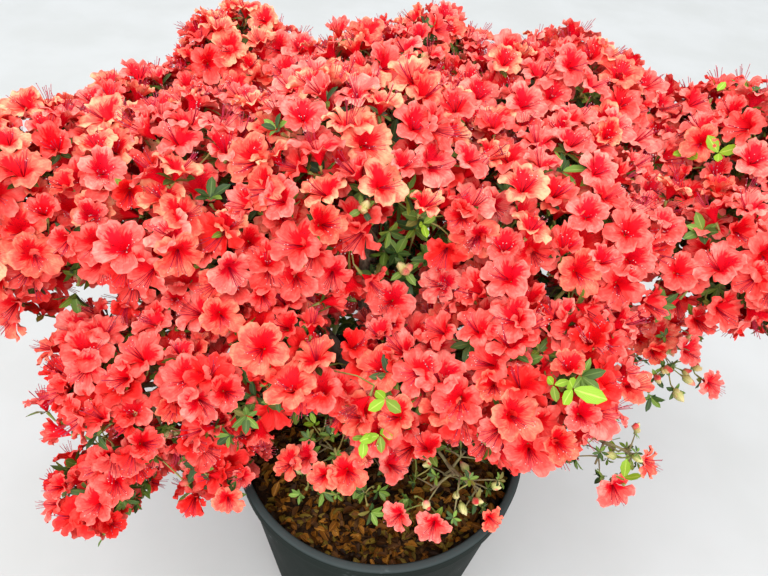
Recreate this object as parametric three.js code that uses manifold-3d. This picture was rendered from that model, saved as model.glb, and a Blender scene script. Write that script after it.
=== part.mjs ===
// Azalea shrub in full bloom, standing in the round nursery pot that it grows in.
// Millimetres, +Z up. The origin is on the ground, under the middle of the pot.
// The pot's front is towards -Y, and the crown leans away from it, towards +Y.

import * as THREE from 'three';
import { mergeVertices } from 'three/addons/utils/BufferGeometryUtils.js';
import Module from 'manifold-3d';

const wasm = await Module();
wasm.setup();

// Pot and potting mix
const potHeight = 300;
const potRimRadius = 180;
const potFootRadius = 146;
const potWall = 4;
const potRimBand = 24;
const potRimStep = 6;
const potFloor = 5;
const potEdge = 3;
const potLip = 2;
const potSides = 28;
const soilLevel = 266;
const soilMound = 6;
const soilFlatShare = 0.55;

// Trunk
const trunkFoot = new THREE.Vector3(-14, 8, 0);
const trunkFork = new THREE.Vector3(-22, 26, 352);
const trunkFootRadius = 25;
const trunkForkRadius = 17;
const trunkFlare = 15;
const trunkFlareHeight = 30;
const trunkRoots = 5;
const trunkRootWave = 0.4;
const trunkSides = 12;
const trunkSteps = 5;

// Boughs
const boughSides = 5;
const boughSteps = 3;
const boughTipShare = 0.5;
const boughArch = 0.14;
const boughEntry = 0.6;
const sectionTurns = 40;
const narrowestFace = 0.15;

// Twigs: their radii, the forks that they leave, and the nodes along them
const stemRadius = 3.6;
const forkTwigRadius = 3.4;
const twigRadius = 2.6;
const twigTipRadius = 1.6;
const forksPerMass = 5;
const forkReach = 0.5;
const nodeLength = 5;
const shortestTwig = 15;
const stemNodes = [0.4, 0.6, 0.8];
const forkNodes = [0.5, 0.75];
const twigNodes = [0.75];

// Blossom: one stands for a truss of three flowers
const trussRadius = 52;
const trussDepth = 32;
const trussSpacing = 96;
const throatShare = 0.47;
const lobes = 5;
const notchShare = 0.7;
const notchRise = 0.86;
const leastTruss = 0.88;
const trussVariety = 0.2;
const trussSunk = 2;
const sunkVariety = 14;
const facingStray = 0.6;
const blossomTrials = 4;
const trialShrink = 0.13;
const trialSunk = 9;

// Leaves
const leafLength = 44;
const leafWidth = 17;
const leafThickness = 1.6;
const leafWidest = 0.45;
const leafStray = 2.8;
const leavesOnLeafyTwig = 3;
const leavesByBlossom = 2;

// Masses smaller than the full size have smaller blossoms and leaves. Bare masses have
// smaller ones again, wider apart. Twigs that face down have leaves only.
const fullSize = 122;
const bareScale = 0.8;
const bareSpacing = 1.3;
const bareLeafyShare = 0.6;
const leafyFacing = -0.35;
const buriedDepth = 0.78;

// How well a face must look along a new twig for it to grow there, and how many are tried
const leastMatch = 0.3;
const budTrials = 8;

// Gap that every piece keeps to its neighbours
const gap = 0.35;

// How far blossom and leaves may reach past the middle between two masses, where they stay clear
const borderShare = 24;

// Masses of the crown. turn is the angle about the pot's middle in degrees from +X,
// out is the distance from that axis, up is the height, and size is the half width.
// on is the trunk or the mass whose bough its own bough leaves, at is how far along that
// limb, and thick is the bough's radius where it starts.
const crown = [
  { name: 'middle', turn: 107, out: 136, up: 590, size: 142, on: 'trunk', at: 1.0, thick: 11 },
  { name: 'left', turn: 151, out: 235, up: 550, size: 140, on: 'trunk', at: 0.86, thick: 10 },
  { name: 'right', turn: 34, out: 198, up: 540, size: 134, on: 'trunk', at: 0.9, thick: 10 },
  { name: 'front_left', turn: -172, out: 130, up: 448, size: 99, on: 'trunk', at: 0.5, thick: 8 },
  { name: 'front_right', turn: -4, out: 145, up: 461, size: 112, on: 'trunk', at: 0.62, thick: 9 },
  { name: 'front', turn: -51, out: 28, up: 430, size: 84, on: 'trunk', at: 0.78, thick: 6 },
  { name: 'back', turn: 100, out: 350, up: 571, size: 116, on: 'middle', at: 0.55, thick: 8 },
  { name: 'back_left', turn: 120, out: 488, up: 571, size: 103, on: 'left', at: 0.5, thick: 9 },
  { name: 'back_right', turn: 57, out: 358, up: 579, size: 142, on: 'right', at: 0.6, thick: 8 },
  { name: 'back_top', turn: 87, out: 434, up: 589, size: 94, on: 'middle', at: 0.8, thick: 7 },
  { name: 'far_left', turn: 165, out: 400, up: 535, size: 135, on: 'left', at: 0.7, thick: 8 },
  { name: 'far_right', turn: 16, out: 381, up: 546, size: 101, on: 'right', at: 0.4, thick: 7 },
  { name: 'far_right_back', turn: 30, out: 479, up: 594, size: 109, on: 'far_right', at: 0.6, thick: 6 },
  { name: 'side_left', turn: 140, out: 444, up: 519, size: 113, on: 'far_left', at: 0.35, thick: 6 },
  { name: 'low_left', turn: -172, out: 261, up: 408, size: 106, on: 'trunk', at: 0.3, thick: 8 },
  { name: 'low_left_tip', turn: -165, out: 325, up: 281, size: 68, on: 'low_left', at: 0.75, thick: 5 },
  { name: 'low_left_front', turn: -155, out: 202, up: 343, size: 52, on: 'low_left', at: 0.5, thick: 5 },
  { name: 'low_back_left', turn: 128, out: 442, up: 448, size: 118, on: 'back_left', at: 0.4, thick: 7 },
  { name: 'low_back', turn: 92, out: 450, up: 452, size: 122, on: 'back', at: 0.4, thick: 7 },
  { name: 'low_back_right', turn: 60, out: 432, up: 452, size: 118, on: 'back_right', at: 0.5, thick: 7 },
  { name: 'right_side', turn: 20, out: 368, up: 382, size: 78, on: 'far_right', at: 0.4, thick: 5 },
  { name: 'low_right', turn: -5, out: 271, up: 342, size: 64, on: 'front_right', at: 0.7, thick: 4 },
  { name: 'low_front', turn: -119, out: 82, up: 340, size: 68, on: 'trunk', at: 0.42, thick: 4 },
  { name: 'low_front_right', turn: -44, out: 122, up: 338, size: 68, on: 'front_right', at: 0.3, thick: 4 },
  { name: 'inner', turn: 84, out: 150, up: 428, size: 96, on: 'trunk', at: 0.7, thick: 7 },
];
const massFlattening = 0.8;

// Masses with more leaves and few blossoms
const bareMasses = ['right_side', 'low_right', 'low_front', 'low_front_right'];

// Base colours
const potColour = 0x2f3438;
const mixColour = 0x4a3020;
const barkColour = 0x7b6a58;
const blossomColour = 0xf0604e;
const leafColour = 0x7a8a3a;

const group = new THREE.Group();

// A repeatable number from 0 to 1 for item i and draw k
function chance(i, k) {
  const wave = Math.sin(i * 12.9898 + k * 78.233) * 43758.5453;
  return wave - Math.floor(wave);
}

// A closed mesh as a solid for joining and cutting
function toSolid(geometry) {
  const bare = geometry.clone();
  bare.deleteAttribute('normal');
  bare.deleteAttribute('uv');
  const merged = mergeVertices(bare, 1e-4);
  const mesh = new wasm.Mesh({
    numProp: 3,
    vertProperties: new Float32Array(merged.attributes.position.array),
    triVerts: new Uint32Array(merged.index.array),
  });
  return new wasm.Manifold(mesh);
}

// A solid as a geometry again
function toGeometry(solid) {
  const mesh = solid.getMesh();
  const geometry = new THREE.BufferGeometry();
  geometry.setAttribute('position', new THREE.BufferAttribute(new Float32Array(mesh.vertProperties), 3));
  geometry.setIndex(new THREE.BufferAttribute(new Uint32Array(mesh.triVerts), 1));
  geometry.computeVertexNormals();
  return geometry;
}

// A geometry from corner points and faces
function fromFaces(points, faces) {
  const geometry = new THREE.BufferGeometry();
  geometry.setAttribute('position', new THREE.Float32BufferAttribute(points.flatMap((p) => p.toArray()), 3));
  geometry.setIndex(faces.flat());
  return geometry;
}

// The largest of the separate pieces of a solid
function wholePiece(solid) {
  return solid.decompose().reduce((best, piece) => (piece.volume() > best.volume() ? piece : best));
}

function addPart(name, geometry, colour, roughness) {
  const material = new THREE.MeshStandardMaterial({ color: colour, roughness, metalness: 0 });
  const mesh = new THREE.Mesh(geometry, material);
  mesh.name = name;
  group.add(mesh);
}

// Two directions square to a given one
function sideways(direction) {
  const reference = Math.abs(direction.z) < 0.9 ? new THREE.Vector3(0, 0, 1) : new THREE.Vector3(1, 0, 0);
  const side = new THREE.Vector3().crossVectors(direction, reference).normalize();
  const other = new THREE.Vector3().crossVectors(direction, side);
  return [side, other];
}

// Turns a geometry that was made along +Y so that it stands along +Z
function stand(geometry) {
  return geometry.rotateX(Math.PI / 2);
}

// A straight cylinder along Z from 0 to 1, bent along a curve: the angle about Z stays,
// and the distance from Z is worked out by a radius function of height and angle
function alongCurve(curve, sides, steps, radiusAt, roll = 0) {
  const geometry = stand(new THREE.CylinderGeometry(1, 1, 1, sides, steps)).translate(0, 0, 0.5);
  const position = geometry.attributes.position;
  const sweep = curve.getPoint(1).sub(curve.getPoint(0)).normalize();
  const [side, other] = sideways(sweep);
  for (let i = 0; i < position.count; i += 1) {
    const height = position.getZ(i);
    const spread = Math.hypot(position.getX(i), position.getY(i));
    const angle = Math.atan2(position.getY(i), position.getX(i));
    const tangent = curve.getTangent(height);
    const across = side.clone().addScaledVector(tangent, -side.dot(tangent)).normalize();
    const along = new THREE.Vector3().crossVectors(tangent, across);
    const radius = spread < 0.5 ? 0 : radiusAt(height, angle);
    const point = curve.getPoint(height);
    point.addScaledVector(across, radius * Math.cos(angle + roll));
    point.addScaledVector(along, radius * Math.sin(angle + roll));
    position.setXYZ(i, point.x, point.y, point.z);
  }
  return geometry;
}

// The inner radius of the pot's wall at a height
function potInside(height) {
  const share = height / (potHeight - potRimBand);
  return potFootRadius + (potRimRadius - potRimStep - potFootRadius) * Math.min(share, 1) - potWall;
}

// Pot: a tapered wall with a banded rim and a flat floor
function makePot() {
  const shoulder = potHeight - potRimBand;
  const wallTop = potRimRadius - potRimStep;
  const profile = [
    [0, 0],
    [potFootRadius - potEdge, 0],
    [potFootRadius, potEdge],
    [wallTop, shoulder],
    [potRimRadius - 1, shoulder + potLip],
    [potRimRadius, potHeight - potLip * 2],
    [potRimRadius - potEdge, potHeight],
    [wallTop - potWall, potHeight - potLip],
    [potInside(shoulder), shoulder],
    [potInside(potFloor), potFloor],
    [0, potFloor],
  ].map(([radius, height]) => new THREE.Vector2(radius, height));
  const pot = toSolid(stand(new THREE.LatheGeometry(profile, potSides)));
  addPart('pot', toGeometry(pot), potColour, 0.55);
}

// Potting mix: fills the pot to just under its rim, and rises a little to the middle
function makePottingMix() {
  const profile = [
    [0, potFloor + gap],
    [potInside(potFloor) - gap * 2, potFloor + gap],
    [potInside(soilLevel) - gap * 2, soilLevel - soilMound],
    [potRimRadius * soilFlatShare, soilLevel],
    [0, soilLevel],
  ].map(([radius, height]) => new THREE.Vector2(radius, height));
  const mix = toSolid(stand(new THREE.LatheGeometry(profile, potSides)));
  addPart('potting_mix', toGeometry(mix), mixColour, 0.95);
}

// Limbs: the trunk first, then one tapering bough for every mass
const limbs = new Map();

// The least width of any face of a geometry: twice its area over its longest edge
function leastWidth(geometry) {
  const corners = Array.from(geometry.index.array, (i) => {
    return new THREE.Vector3().fromBufferAttribute(geometry.attributes.position, i);
  });
  let least = Infinity;
  for (let i = 0; i < corners.length; i += 3) {
    const face = new THREE.Triangle(corners[i], corners[i + 1], corners[i + 2]);
    const longest = Math.max(face.a.distanceTo(face.b), face.b.distanceTo(face.c), face.c.distanceTo(face.a));
    least = Math.min(least, (2 * face.getArea()) / longest);
  }
  return least;
}

// A limb along a curve, cut 0.3 mm clear of the limbs before it. Its section is turned
// until the cut leaves no sliver.
function addLimb(name, curve, sides, steps, radiusAt) {
  let best = null;
  for (let turn = 0; turn < sectionTurns; turn += 1) {
    const roll = (turn / sectionTurns) * ((2 * Math.PI) / sides);
    let cut = toSolid(alongCurve(curve, sides, steps, radiusAt, roll));
    for (const other of limbs.values()) cut = cut.subtract(other.sleeve);
    const geometry = toGeometry(wholePiece(cut));
    const width = leastWidth(geometry);
    if (best === null || width > best.width) best = { geometry, width, roll };
    if (best.width > narrowestFace) break;
  }
  const widerAt = (height, angle) => radiusAt(height, angle) + gap * 2;
  const sleeve = toSolid(alongCurve(curve, sides, steps, widerAt, best.roll));
  limbs.set(name, { curve, geometry: best.geometry, sleeve });
}

// Trunk: tapers from a flared foot on the potting mix to its fork, with a slight lean
function makeTrunk() {
  const foot = trunkFoot.clone().setZ(soilLevel + gap);
  const middle = foot.clone().setZ((foot.z + trunkFork.z) / 2);
  const curve = new THREE.QuadraticBezierCurve3(foot, middle, trunkFork);
  const length = trunkFork.z - foot.z;
  addLimb('trunk', curve, trunkSides, trunkSteps, (height, angle) => {
    const flare = Math.exp((-height * length) / trunkFlareHeight);
    const root = 1 - trunkRootWave + trunkRootWave * Math.cos(trunkRoots * angle);
    return trunkFootRadius + (trunkForkRadius - trunkFootRadius) * height + trunkFlare * flare * root;
  });
}

// A mass's centre and its half sizes along X, Y and Z
function placeMass(mass) {
  const turn = THREE.MathUtils.degToRad(mass.turn);
  mass.centre = new THREE.Vector3(mass.out * Math.cos(turn), mass.out * Math.sin(turn), mass.up);
  mass.reach = new THREE.Vector3(mass.size, mass.size, mass.size * massFlattening);
  mass.bare = bareMasses.includes(mass.name);
  mass.scale = Math.min(1, mass.size / fullSize) * (mass.bare ? bareScale : 1);
}

// How far a point is from a mass's centre, where 1 is on its skin
function depthIn(mass, point) {
  return point.clone().sub(mass.centre).divide(mass.reach).length();
}

// How far a point is inside the mass's own space, which ends at a plane towards each
// neighbour, nearer to the smaller of the two
function roomIn(mass, point) {
  let room = Infinity;
  for (const other of crown) {
    if (other === mass) continue;
    const apart = other.centre.clone().sub(mass.centre);
    const border = (apart.length() * mass.size) / (mass.size + other.size);
    room = Math.min(room, border - point.clone().sub(mass.centre).dot(apart.normalize()));
  }
  return room;
}

// Bough: leaves its limb, rises, arches over and ends where it enters its mass
function makeBough(mass) {
  const start = limbs.get(mass.on).curve.getPoint(mass.at);
  const inward = start.clone().sub(mass.centre);
  let share = Math.min(boughEntry / depthIn(mass, start), 0.6);
  let tip = mass.centre.clone().addScaledVector(inward, share);
  while (roomIn(mass, tip) < mass.thick + gap && share > 0.05) {
    share *= 0.9;
    tip = mass.centre.clone().addScaledVector(inward, share);
  }
  const bend = start.clone().lerp(tip, 0.5);
  bend.z += boughArch * start.distanceTo(tip);
  const curve = new THREE.QuadraticBezierCurve3(start, bend, tip);
  mass.tip = tip;
  mass.tipDirection = curve.getTangent(1);
  mass.tipRadius = mass.thick * boughTipShare;
  addLimb(mass.name, curve, boughSides, boughSteps, (height) => {
    return mass.thick + (mass.tipRadius - mass.thick) * height;
  });
}

// Points spread evenly over a mass's skin by the golden angle
function skinPoints(mass, count, share, seed) {
  const goldenAngle = Math.PI * (3 - Math.sqrt(5));
  return Array.from({ length: count }, (_, k) => {
    const z = 1 - (2 * (k + 0.5)) / count;
    const ring = Math.sqrt(1 - z * z);
    const angle = k * goldenAngle + seed;
    const outward = new THREE.Vector3(ring * Math.cos(angle), ring * Math.sin(angle), z);
    return mass.centre.clone().add(outward.clone().multiply(mass.reach).multiplyScalar(share));
  });
}

// The direction that a blossom at a point of the skin faces: out of the mass, and a little up
function facingAt(mass, point, seed) {
  const outward = point.clone().sub(mass.centre).divide(mass.reach).divide(mass.reach).normalize();
  const stray = new THREE.Vector3(chance(seed, 1) - 0.5, chance(seed, 2) - 0.5, chance(seed, 3) - 0.25);
  return outward.addScaledVector(stray, facingStray).normalize();
}

// Three corners round a point, square to a direction, the first of them towards a side
function ringAround(middle, direction, radius, towards) {
  const first = towards.clone().addScaledVector(direction, -towards.dot(direction)).normalize();
  const second = new THREE.Vector3().crossVectors(direction, first);
  return [0, 1, 2].map((i) => {
    const angle = (i / 3) * 2 * Math.PI;
    const corner = middle.clone().addScaledVector(first, radius * Math.cos(angle));
    return corner.addScaledVector(second, radius * Math.sin(angle));
  });
}

function middleOf(corners) {
  return corners.reduce((sum, corner) => sum.add(corner), new THREE.Vector3()).divideScalar(corners.length);
}

function faceNormal([a, b, c]) {
  return b.clone().sub(a).cross(c.clone().sub(a)).normalize();
}

// The side that a ring's first corner faces, so that a twig leaves its base without a twist
function firstSide(base, direction) {
  const middle = middleOf(base);
  return base.reduce((sum, corner, i) => {
    const arm = corner.clone().sub(middle).projectOnPlane(direction).normalize();
    return sum.add(arm.applyAxisAngle(direction, (-i / 3) * 2 * Math.PI));
  }, new THREE.Vector3());
}

// Walls between rings of three corners, from a closed base on. Face 0 closes the base.
function walls(rings) {
  const faces = [[2, 1, 0]];
  for (let r = 0; r + 1 < rings.length; r += 1) {
    for (let i = 0; i < 3; i += 1) {
      const [a, b] = [3 * r + i, 3 * r + ((i + 1) % 3)];
      faces.push([a, b, b + 3], [a, b + 3, a + 3]);
    }
  }
  return { points: rings.flat(), faces };
}

// A tapering twig with short nodes that side twigs and leaves can grow from. Its buds are
// the faces of its nodes and of its end.
function twigShape(base, end, fromRadius, toRadius, nodes, facing = null) {
  const start = middleOf(base);
  const length = start.distanceTo(end);
  const direction = end.clone().sub(start).normalize();
  const side = firstSide(base, direction);
  const radiusAt = (share) => fromRadius + (toRadius - fromRadius) * share;
  const rings = [base];
  const roomy = nodes.filter((node) => (0.95 - node) * length > nodeLength);
  for (const node of roomy) {
    for (const share of [node, node + nodeLength / length]) {
      rings.push(ringAround(start.clone().lerp(end, share), direction, radiusAt(share), side));
    }
  }
  rings.push(ringAround(end, facing ?? direction, toRadius, side));
  const shape = walls(rings);
  shape.buds = roomy.flatMap((_, n) => [0, 1, 2, 3, 4, 5].map((i) => 1 + 6 * (2 * n + 1) + i));
  shape.side = side;
  return shape;
}

// Closes a twig's end with a flat face, which is a bud too
function closeEnd(shape) {
  const last = shape.points.length;
  shape.buds.push(shape.faces.length);
  shape.faces.push([last - 3, last - 2, last - 1]);
  return shape;
}

// Widens a twig's end into a blossom: a five-lobed cup with its throat sunk in the middle
function openBlossom(shape, neck, facing, radius, depth, turn) {
  const last = shape.points.length;
  const side = shape.side.clone().projectOnPlane(facing).normalize();
  const other = new THREE.Vector3().crossVectors(facing, side);
  const rim = lobes * 2;
  for (let i = 0; i < rim; i += 1) {
    const angle = (i / rim) * 2 * Math.PI;
    const notch = i % 2 === turn;
    const reach = radius * (notch ? notchShare : 1);
    const point = neck.clone().addScaledVector(facing, depth * (notch ? notchRise : 1));
    point.addScaledVector(side, reach * Math.cos(angle));
    shape.points.push(point.addScaledVector(other, reach * Math.sin(angle)));
  }
  shape.points.push(neck.clone().addScaledVector(facing, depth * throatShare));
  for (let i = 0; i < rim; i += 1) {
    const next = (i + 1) % rim;
    const corner = last - 3 + (Math.round((i / rim) * 3) % 3);
    const nextCorner = last - 3 + (Math.round(((i + 1) / rim) * 3) % 3);
    shape.faces.push([last + i, last + next, last + rim]);
    shape.faces.push([corner, last + next, last + i]);
    if (nextCorner !== corner) shape.faces.push([corner, nextCorner, last + next]);
  }
  return shape;
}

// A leaf from a base of three corners: it widens to a thin ridged middle and ends in a point
function leafShape(base, direction, length) {
  const root = middleOf(base);
  const up = firstSide(base, direction).projectOnPlane(direction).normalize();
  const across = new THREE.Vector3().crossVectors(direction, up);
  const middle = root.clone().addScaledVector(direction, length * leafWidest);
  const ring = [
    middle.clone().addScaledVector(up, leafThickness),
    middle.clone().addScaledVector(across, leafWidth / 2),
    middle.clone().addScaledVector(across, -leafWidth / 2),
  ];
  const shape = walls([base, ring]);
  const tip = shape.points.push(root.clone().addScaledVector(direction, length)) - 1;
  shape.faces.push([3, 4, tip], [4, 5, tip], [5, 3, tip]);
  shape.buds = [];
  return shape;
}

// Whether points keep clear of the pot and of the potting mix in it
function clearOfPot(points) {
  const above = points.every((p) => p.z > potHeight + 2);
  const outside = points.every((p) => Math.hypot(p.x, p.y) > potRimRadius + 2);
  const inside = points.every((p) => Math.hypot(p.x, p.y) < potInside(soilLevel) - 6 && p.z > soilLevel + 2);
  return above || outside || inside;
}

const grownMasses = [];

// Whether a shape stays in its mass's space and clear of the limbs, the pot and other masses
function fits(mass, shape) {
  if (shape.points.some((point) => roomIn(mass, point) < -borderShare)) return false;
  if (!clearOfPot(shape.points)) return false;
  const solid = toSolid(fromFaces(shape.points, shape.faces));
  const sleeves = [...limbs.values()].map((limb) => limb.sleeve);
  return [...sleeves, ...grownMasses].every((other) => solid.intersect(other).isEmpty());
}

const ray = new THREE.Ray();
const hit = new THREE.Vector3();

// Whether the edge from p to q goes through a triangle
function pierces(p, q, triangle) {
  ray.origin.copy(p);
  ray.direction.subVectors(q, p);
  const length = ray.direction.length();
  ray.direction.divideScalar(length);
  return ray.intersectTriangle(...triangle, false, hit) !== null && hit.distanceTo(p) < length;
}

// Whether an edge of one face goes through the other, leaving out edges that meet it at a corner
function edgesPierce(tree, face, other) {
  const triangle = other.map((corner) => tree.points[corner]);
  return face.some((corner, i) => {
    const next = face[(i + 1) % 3];
    if (other.includes(corner) || other.includes(next)) return false;
    return pierces(tree.points[corner], tree.points[next], triangle);
  });
}

function boxOf(tree, face) {
  return new THREE.Box3().setFromPoints(face.map((corner) => tree.points[corner]));
}

// Whether new faces cross each other or any face that the tree has already
function crosses(tree, newFaces, bud) {
  const newBoxes = newFaces.map((face) => boxOf(tree, face));
  const faces = [...tree.faces, ...newFaces];
  const boxes = [...tree.boxes, ...newBoxes];
  return faces.some((other, t) => {
    if (other === null || t === bud) return false;
    return newFaces.some((face, n) => {
      if (face === other || !newBoxes[n].intersectsBox(boxes[t])) return false;
      return edgesPierce(tree, face, other) || edgesPierce(tree, other, face);
    });
  });
}

// Grows one shape out of the face of the tree that looks its way best. makeShape makes it
// from a base of three corners, which are that face's own.
function sprout(mass, tree, buds, end, makeShape) {
  const ways = [];
  for (const bud of buds) {
    if (tree.faces[bud] === null) continue;
    const base = tree.faces[bud].map((corner) => tree.points[corner]);
    const direction = end.clone().sub(middleOf(base));
    if (direction.length() < shortestTwig) continue;
    ways.push({ bud, base, match: faceNormal(base).dot(direction.normalize()) });
  }
  ways.sort((one, two) => two.match - one.match);
  for (const way of ways.slice(0, budTrials)) {
    if (way.match < leastMatch) break;
    const shape = makeShape(way.base);
    if (!fits(mass, shape)) continue;
    const before = tree.points.length;
    const corners = [...tree.faces[way.bud]];
    for (const point of shape.points.slice(3)) corners.push(tree.points.push(point) - 1);
    const newFaces = shape.faces.slice(1).map((face) => face.map((corner) => corners[corner]));
    if (crosses(tree, newFaces, way.bud)) {
      tree.points.length = before;
      continue;
    }
    const offset = tree.faces.length - 1;
    tree.faces[way.bud] = null;
    for (const face of newFaces) {
      tree.faces.push(face);
      tree.boxes.push(boxOf(tree, face));
    }
    return shape.buds.map((bud) => bud + offset);
  }
  return null;
}

// The stem that a mass starts with, 0.3 mm clear of its bough's tip
function startTree(mass, hub) {
  const from = mass.tip.clone().addScaledVector(mass.tipDirection, gap * 2.5);
  const [side] = sideways(mass.tipDirection);
  const base = ringAround(from, mass.tipDirection, mass.tipRadius, side);
  const shape = closeEnd(twigShape(base, hub, mass.tipRadius, stemRadius, stemNodes));
  const tree = { points: shape.points, faces: shape.faces, buds: shape.buds };
  tree.boxes = tree.faces.map((face) => boxOf(tree, face));
  return tree;
}

// A twig with a blossom at its end, tried smaller and further in until it fits
function growBlossom(mass, tree, buds, end, facing, draw) {
  const nodes = draw % 4 === 0 ? twigNodes : [];
  const fullRadius = trussRadius * mass.scale * (leastTruss + trussVariety * chance(draw, 6));
  const depth = trussDepth * mass.scale;
  for (let trial = 0; trial < blossomTrials; trial += 1) {
    const radius = fullRadius * (1 - trialShrink * trial);
    const inward = trussSunk + sunkVariety * chance(draw, 4) + trialSunk * trial;
    const neck = end.clone().addScaledVector(facing, -inward - depth);
    const grown = sprout(mass, tree, buds, neck, (base) => {
      const stalk = twigShape(base, neck, twigRadius, twigTipRadius, nodes, facing);
      return openBlossom(stalk, neck, facing, radius, depth, draw % 2);
    });
    if (grown !== null) return grown;
  }
  return null;
}

// Mass: one stem, side twigs from it to forks, a twig from a fork to each blossom, and leaves
function makeMass(mass, seed) {
  const hub = mass.centre.clone().lerp(mass.tip, 0.1);
  const tree = startTree(mass, hub);
  const skin = 4 * Math.PI * mass.size ** 2 * massFlattening;
  const spacing = trussSpacing * mass.scale * (mass.bare ? bareSpacing : 1);
  const count = Math.round(skin / spacing ** 2);
  const forks = skinPoints(mass, forksPerMass, forkReach, seed).map((end) => ({ end, buds: null }));
  skinPoints(mass, count, 1, seed).forEach((end, k) => {
    const draw = seed * 1000 + k;
    if (crown.some((other) => other !== mass && depthIn(other, end) < buriedDepth)) return;
    const facing = facingAt(mass, end, draw);
    const fork = forks.reduce((near, one) => {
      return one.end.distanceTo(end) < near.end.distanceTo(end) ? one : near;
    });
    if (fork.buds === null) {
      fork.buds = sprout(mass, tree, tree.buds, fork.end, (base) => {
        return closeEnd(twigShape(base, fork.end, forkTwigRadius, twigRadius, forkNodes));
      });
      if (fork.buds === null) return;
    }
    const leafy = facing.z < leafyFacing || (mass.bare && chance(draw, 5) < bareLeafyShare);
    let buds = null;
    if (leafy) {
      const neck = end.clone().addScaledVector(facing, -trussDepth);
      buds = sprout(mass, tree, fork.buds, neck, (base) => {
        return closeEnd(twigShape(base, neck, twigRadius, twigTipRadius, twigNodes));
      });
    } else {
      buds = growBlossom(mass, tree, fork.buds, end, facing, draw);
    }
    if (buds === null) return;
    const wanted = leafy ? leavesOnLeafyTwig : leavesByBlossom;
    for (let leaf = 0; leaf < wanted; leaf += 1) {
      const stray = new THREE.Vector3(...[1, 2, 3].map((axis) => chance(draw, 10 * axis + leaf) - 0.5));
      const direction = facing.clone().addScaledVector(stray, leafStray).normalize();
      const length = leafLength * mass.scale;
      const point = end.clone().addScaledVector(facing, -trussDepth).addScaledVector(direction, length);
      sprout(mass, tree, buds, point, (base) => {
        return leafShape(base, point.clone().sub(middleOf(base)).normalize(), length);
      });
    }
  });
  const geometry = fromFaces(tree.points, tree.faces.filter((face) => face !== null));
  grownMasses.push(toSolid(geometry));
  addPart(`mass_${mass.name}`, geometry, mass.bare ? leafColour : blossomColour, 0.6);
}

makePot();
makePottingMix();
makeTrunk();
crown.forEach(placeMass);
crown.forEach(makeBough);
for (const [name, limb] of limbs) {
  addPart(name === 'trunk' ? name : `bough_${name}`, limb.geometry, barkColour, 0.85);
}
crown.forEach((mass, index) => makeMass(mass, index + 1));

export default group;
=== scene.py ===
# Azalea shrub in bloom in its nursery pot. Metres, +Z up, origin under the middle of the pot.
import math

import bpy
import numpy as np
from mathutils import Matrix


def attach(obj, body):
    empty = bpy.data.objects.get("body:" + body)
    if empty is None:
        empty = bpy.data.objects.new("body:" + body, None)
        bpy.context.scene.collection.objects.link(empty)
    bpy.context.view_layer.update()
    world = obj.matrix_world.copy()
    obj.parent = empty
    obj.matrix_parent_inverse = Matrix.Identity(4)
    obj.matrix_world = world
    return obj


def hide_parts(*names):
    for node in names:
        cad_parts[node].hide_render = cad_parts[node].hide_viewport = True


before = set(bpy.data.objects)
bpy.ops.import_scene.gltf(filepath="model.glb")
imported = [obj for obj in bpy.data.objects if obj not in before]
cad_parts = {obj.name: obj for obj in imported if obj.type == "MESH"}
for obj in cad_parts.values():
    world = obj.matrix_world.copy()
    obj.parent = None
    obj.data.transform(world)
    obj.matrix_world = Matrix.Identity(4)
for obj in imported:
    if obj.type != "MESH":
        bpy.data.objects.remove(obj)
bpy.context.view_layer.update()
print("frame loaded:", len(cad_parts), "nodes")

mm = 0.001
up = np.array([0.0, 0.0, 1.0])
mapName = "OFBake"
tileEdge = 0.04


# Numbers and colours

def chance(i, k):
    # the fraction left of a large sine wave: a repeatable number from 0 to 1 for item i and draw k
    wave = np.sin(np.asarray(i) * 12.9898 + k * 78.233) * 43758.5453
    return wave - np.floor(wave)


def spread(i, k, low, high):
    # a repeatable number between low and high
    return low + (high - low) * chance(i, k)


def pickOf(i, k, count):
    # a repeatable whole number from 0 to count - 1
    return np.floor(chance(i, k) * count).astype(int)


def unit(vectors):
    # each vector over its own length
    return vectors / np.maximum(np.linalg.norm(vectors, axis=-1, keepdims=True), 1e-12)


def bezier(a, b, c, t):
    # quadratic curve (1-t)^2 a + 2t(1-t) b + t^2 c
    t = np.asarray(t, float)[..., None]
    return (1 - t) ** 2 * a + 2 * t * (1 - t) * b + t * t * c


def colour(red, green, blue):
    # a screen colour from 0 to 255 as a linear one: (c/255)^2.2
    return tuple((value / 255) ** 2.2 for value in (red, green, blue)) + (1.0,)


# Meshes

def makeMesh(name, material, points, faces, cornerUv=None, smooth=True):
    # one object from arrays: faces is a list of (count, corners) arrays, and cornerUv holds a place in
    # the map for every corner in the same order
    mesh = bpy.data.meshes.new(name)
    corners = np.concatenate([block.reshape(-1) for block in faces]).astype(np.int32)
    totals = np.concatenate([np.full(len(block), block.shape[1], np.int32) for block in faces])
    starts = np.concatenate([[0], np.cumsum(totals)[:-1]]).astype(np.int32)
    mesh.vertices.add(len(points))
    mesh.vertices.foreach_set("co", np.asarray(points, np.float32).ravel())
    mesh.loops.add(len(corners))
    mesh.loops.foreach_set("vertex_index", corners)
    mesh.polygons.add(len(totals))
    mesh.polygons.foreach_set("loop_start", starts)
    mesh.polygons.foreach_set("loop_total", totals)
    mesh.polygons.foreach_set("use_smooth", np.full(len(totals), smooth))
    mesh.materials.append(material)
    if cornerUv is not None:
        layer = mesh.uv_layers.new(name=mapName)
        layer.data.foreach_set("uv", np.asarray(cornerUv, np.float32).ravel())
    mesh.update(calc_edges=True)
    piece = bpy.data.objects.new(name, mesh)
    bpy.context.scene.collection.objects.link(piece)
    return piece


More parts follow.
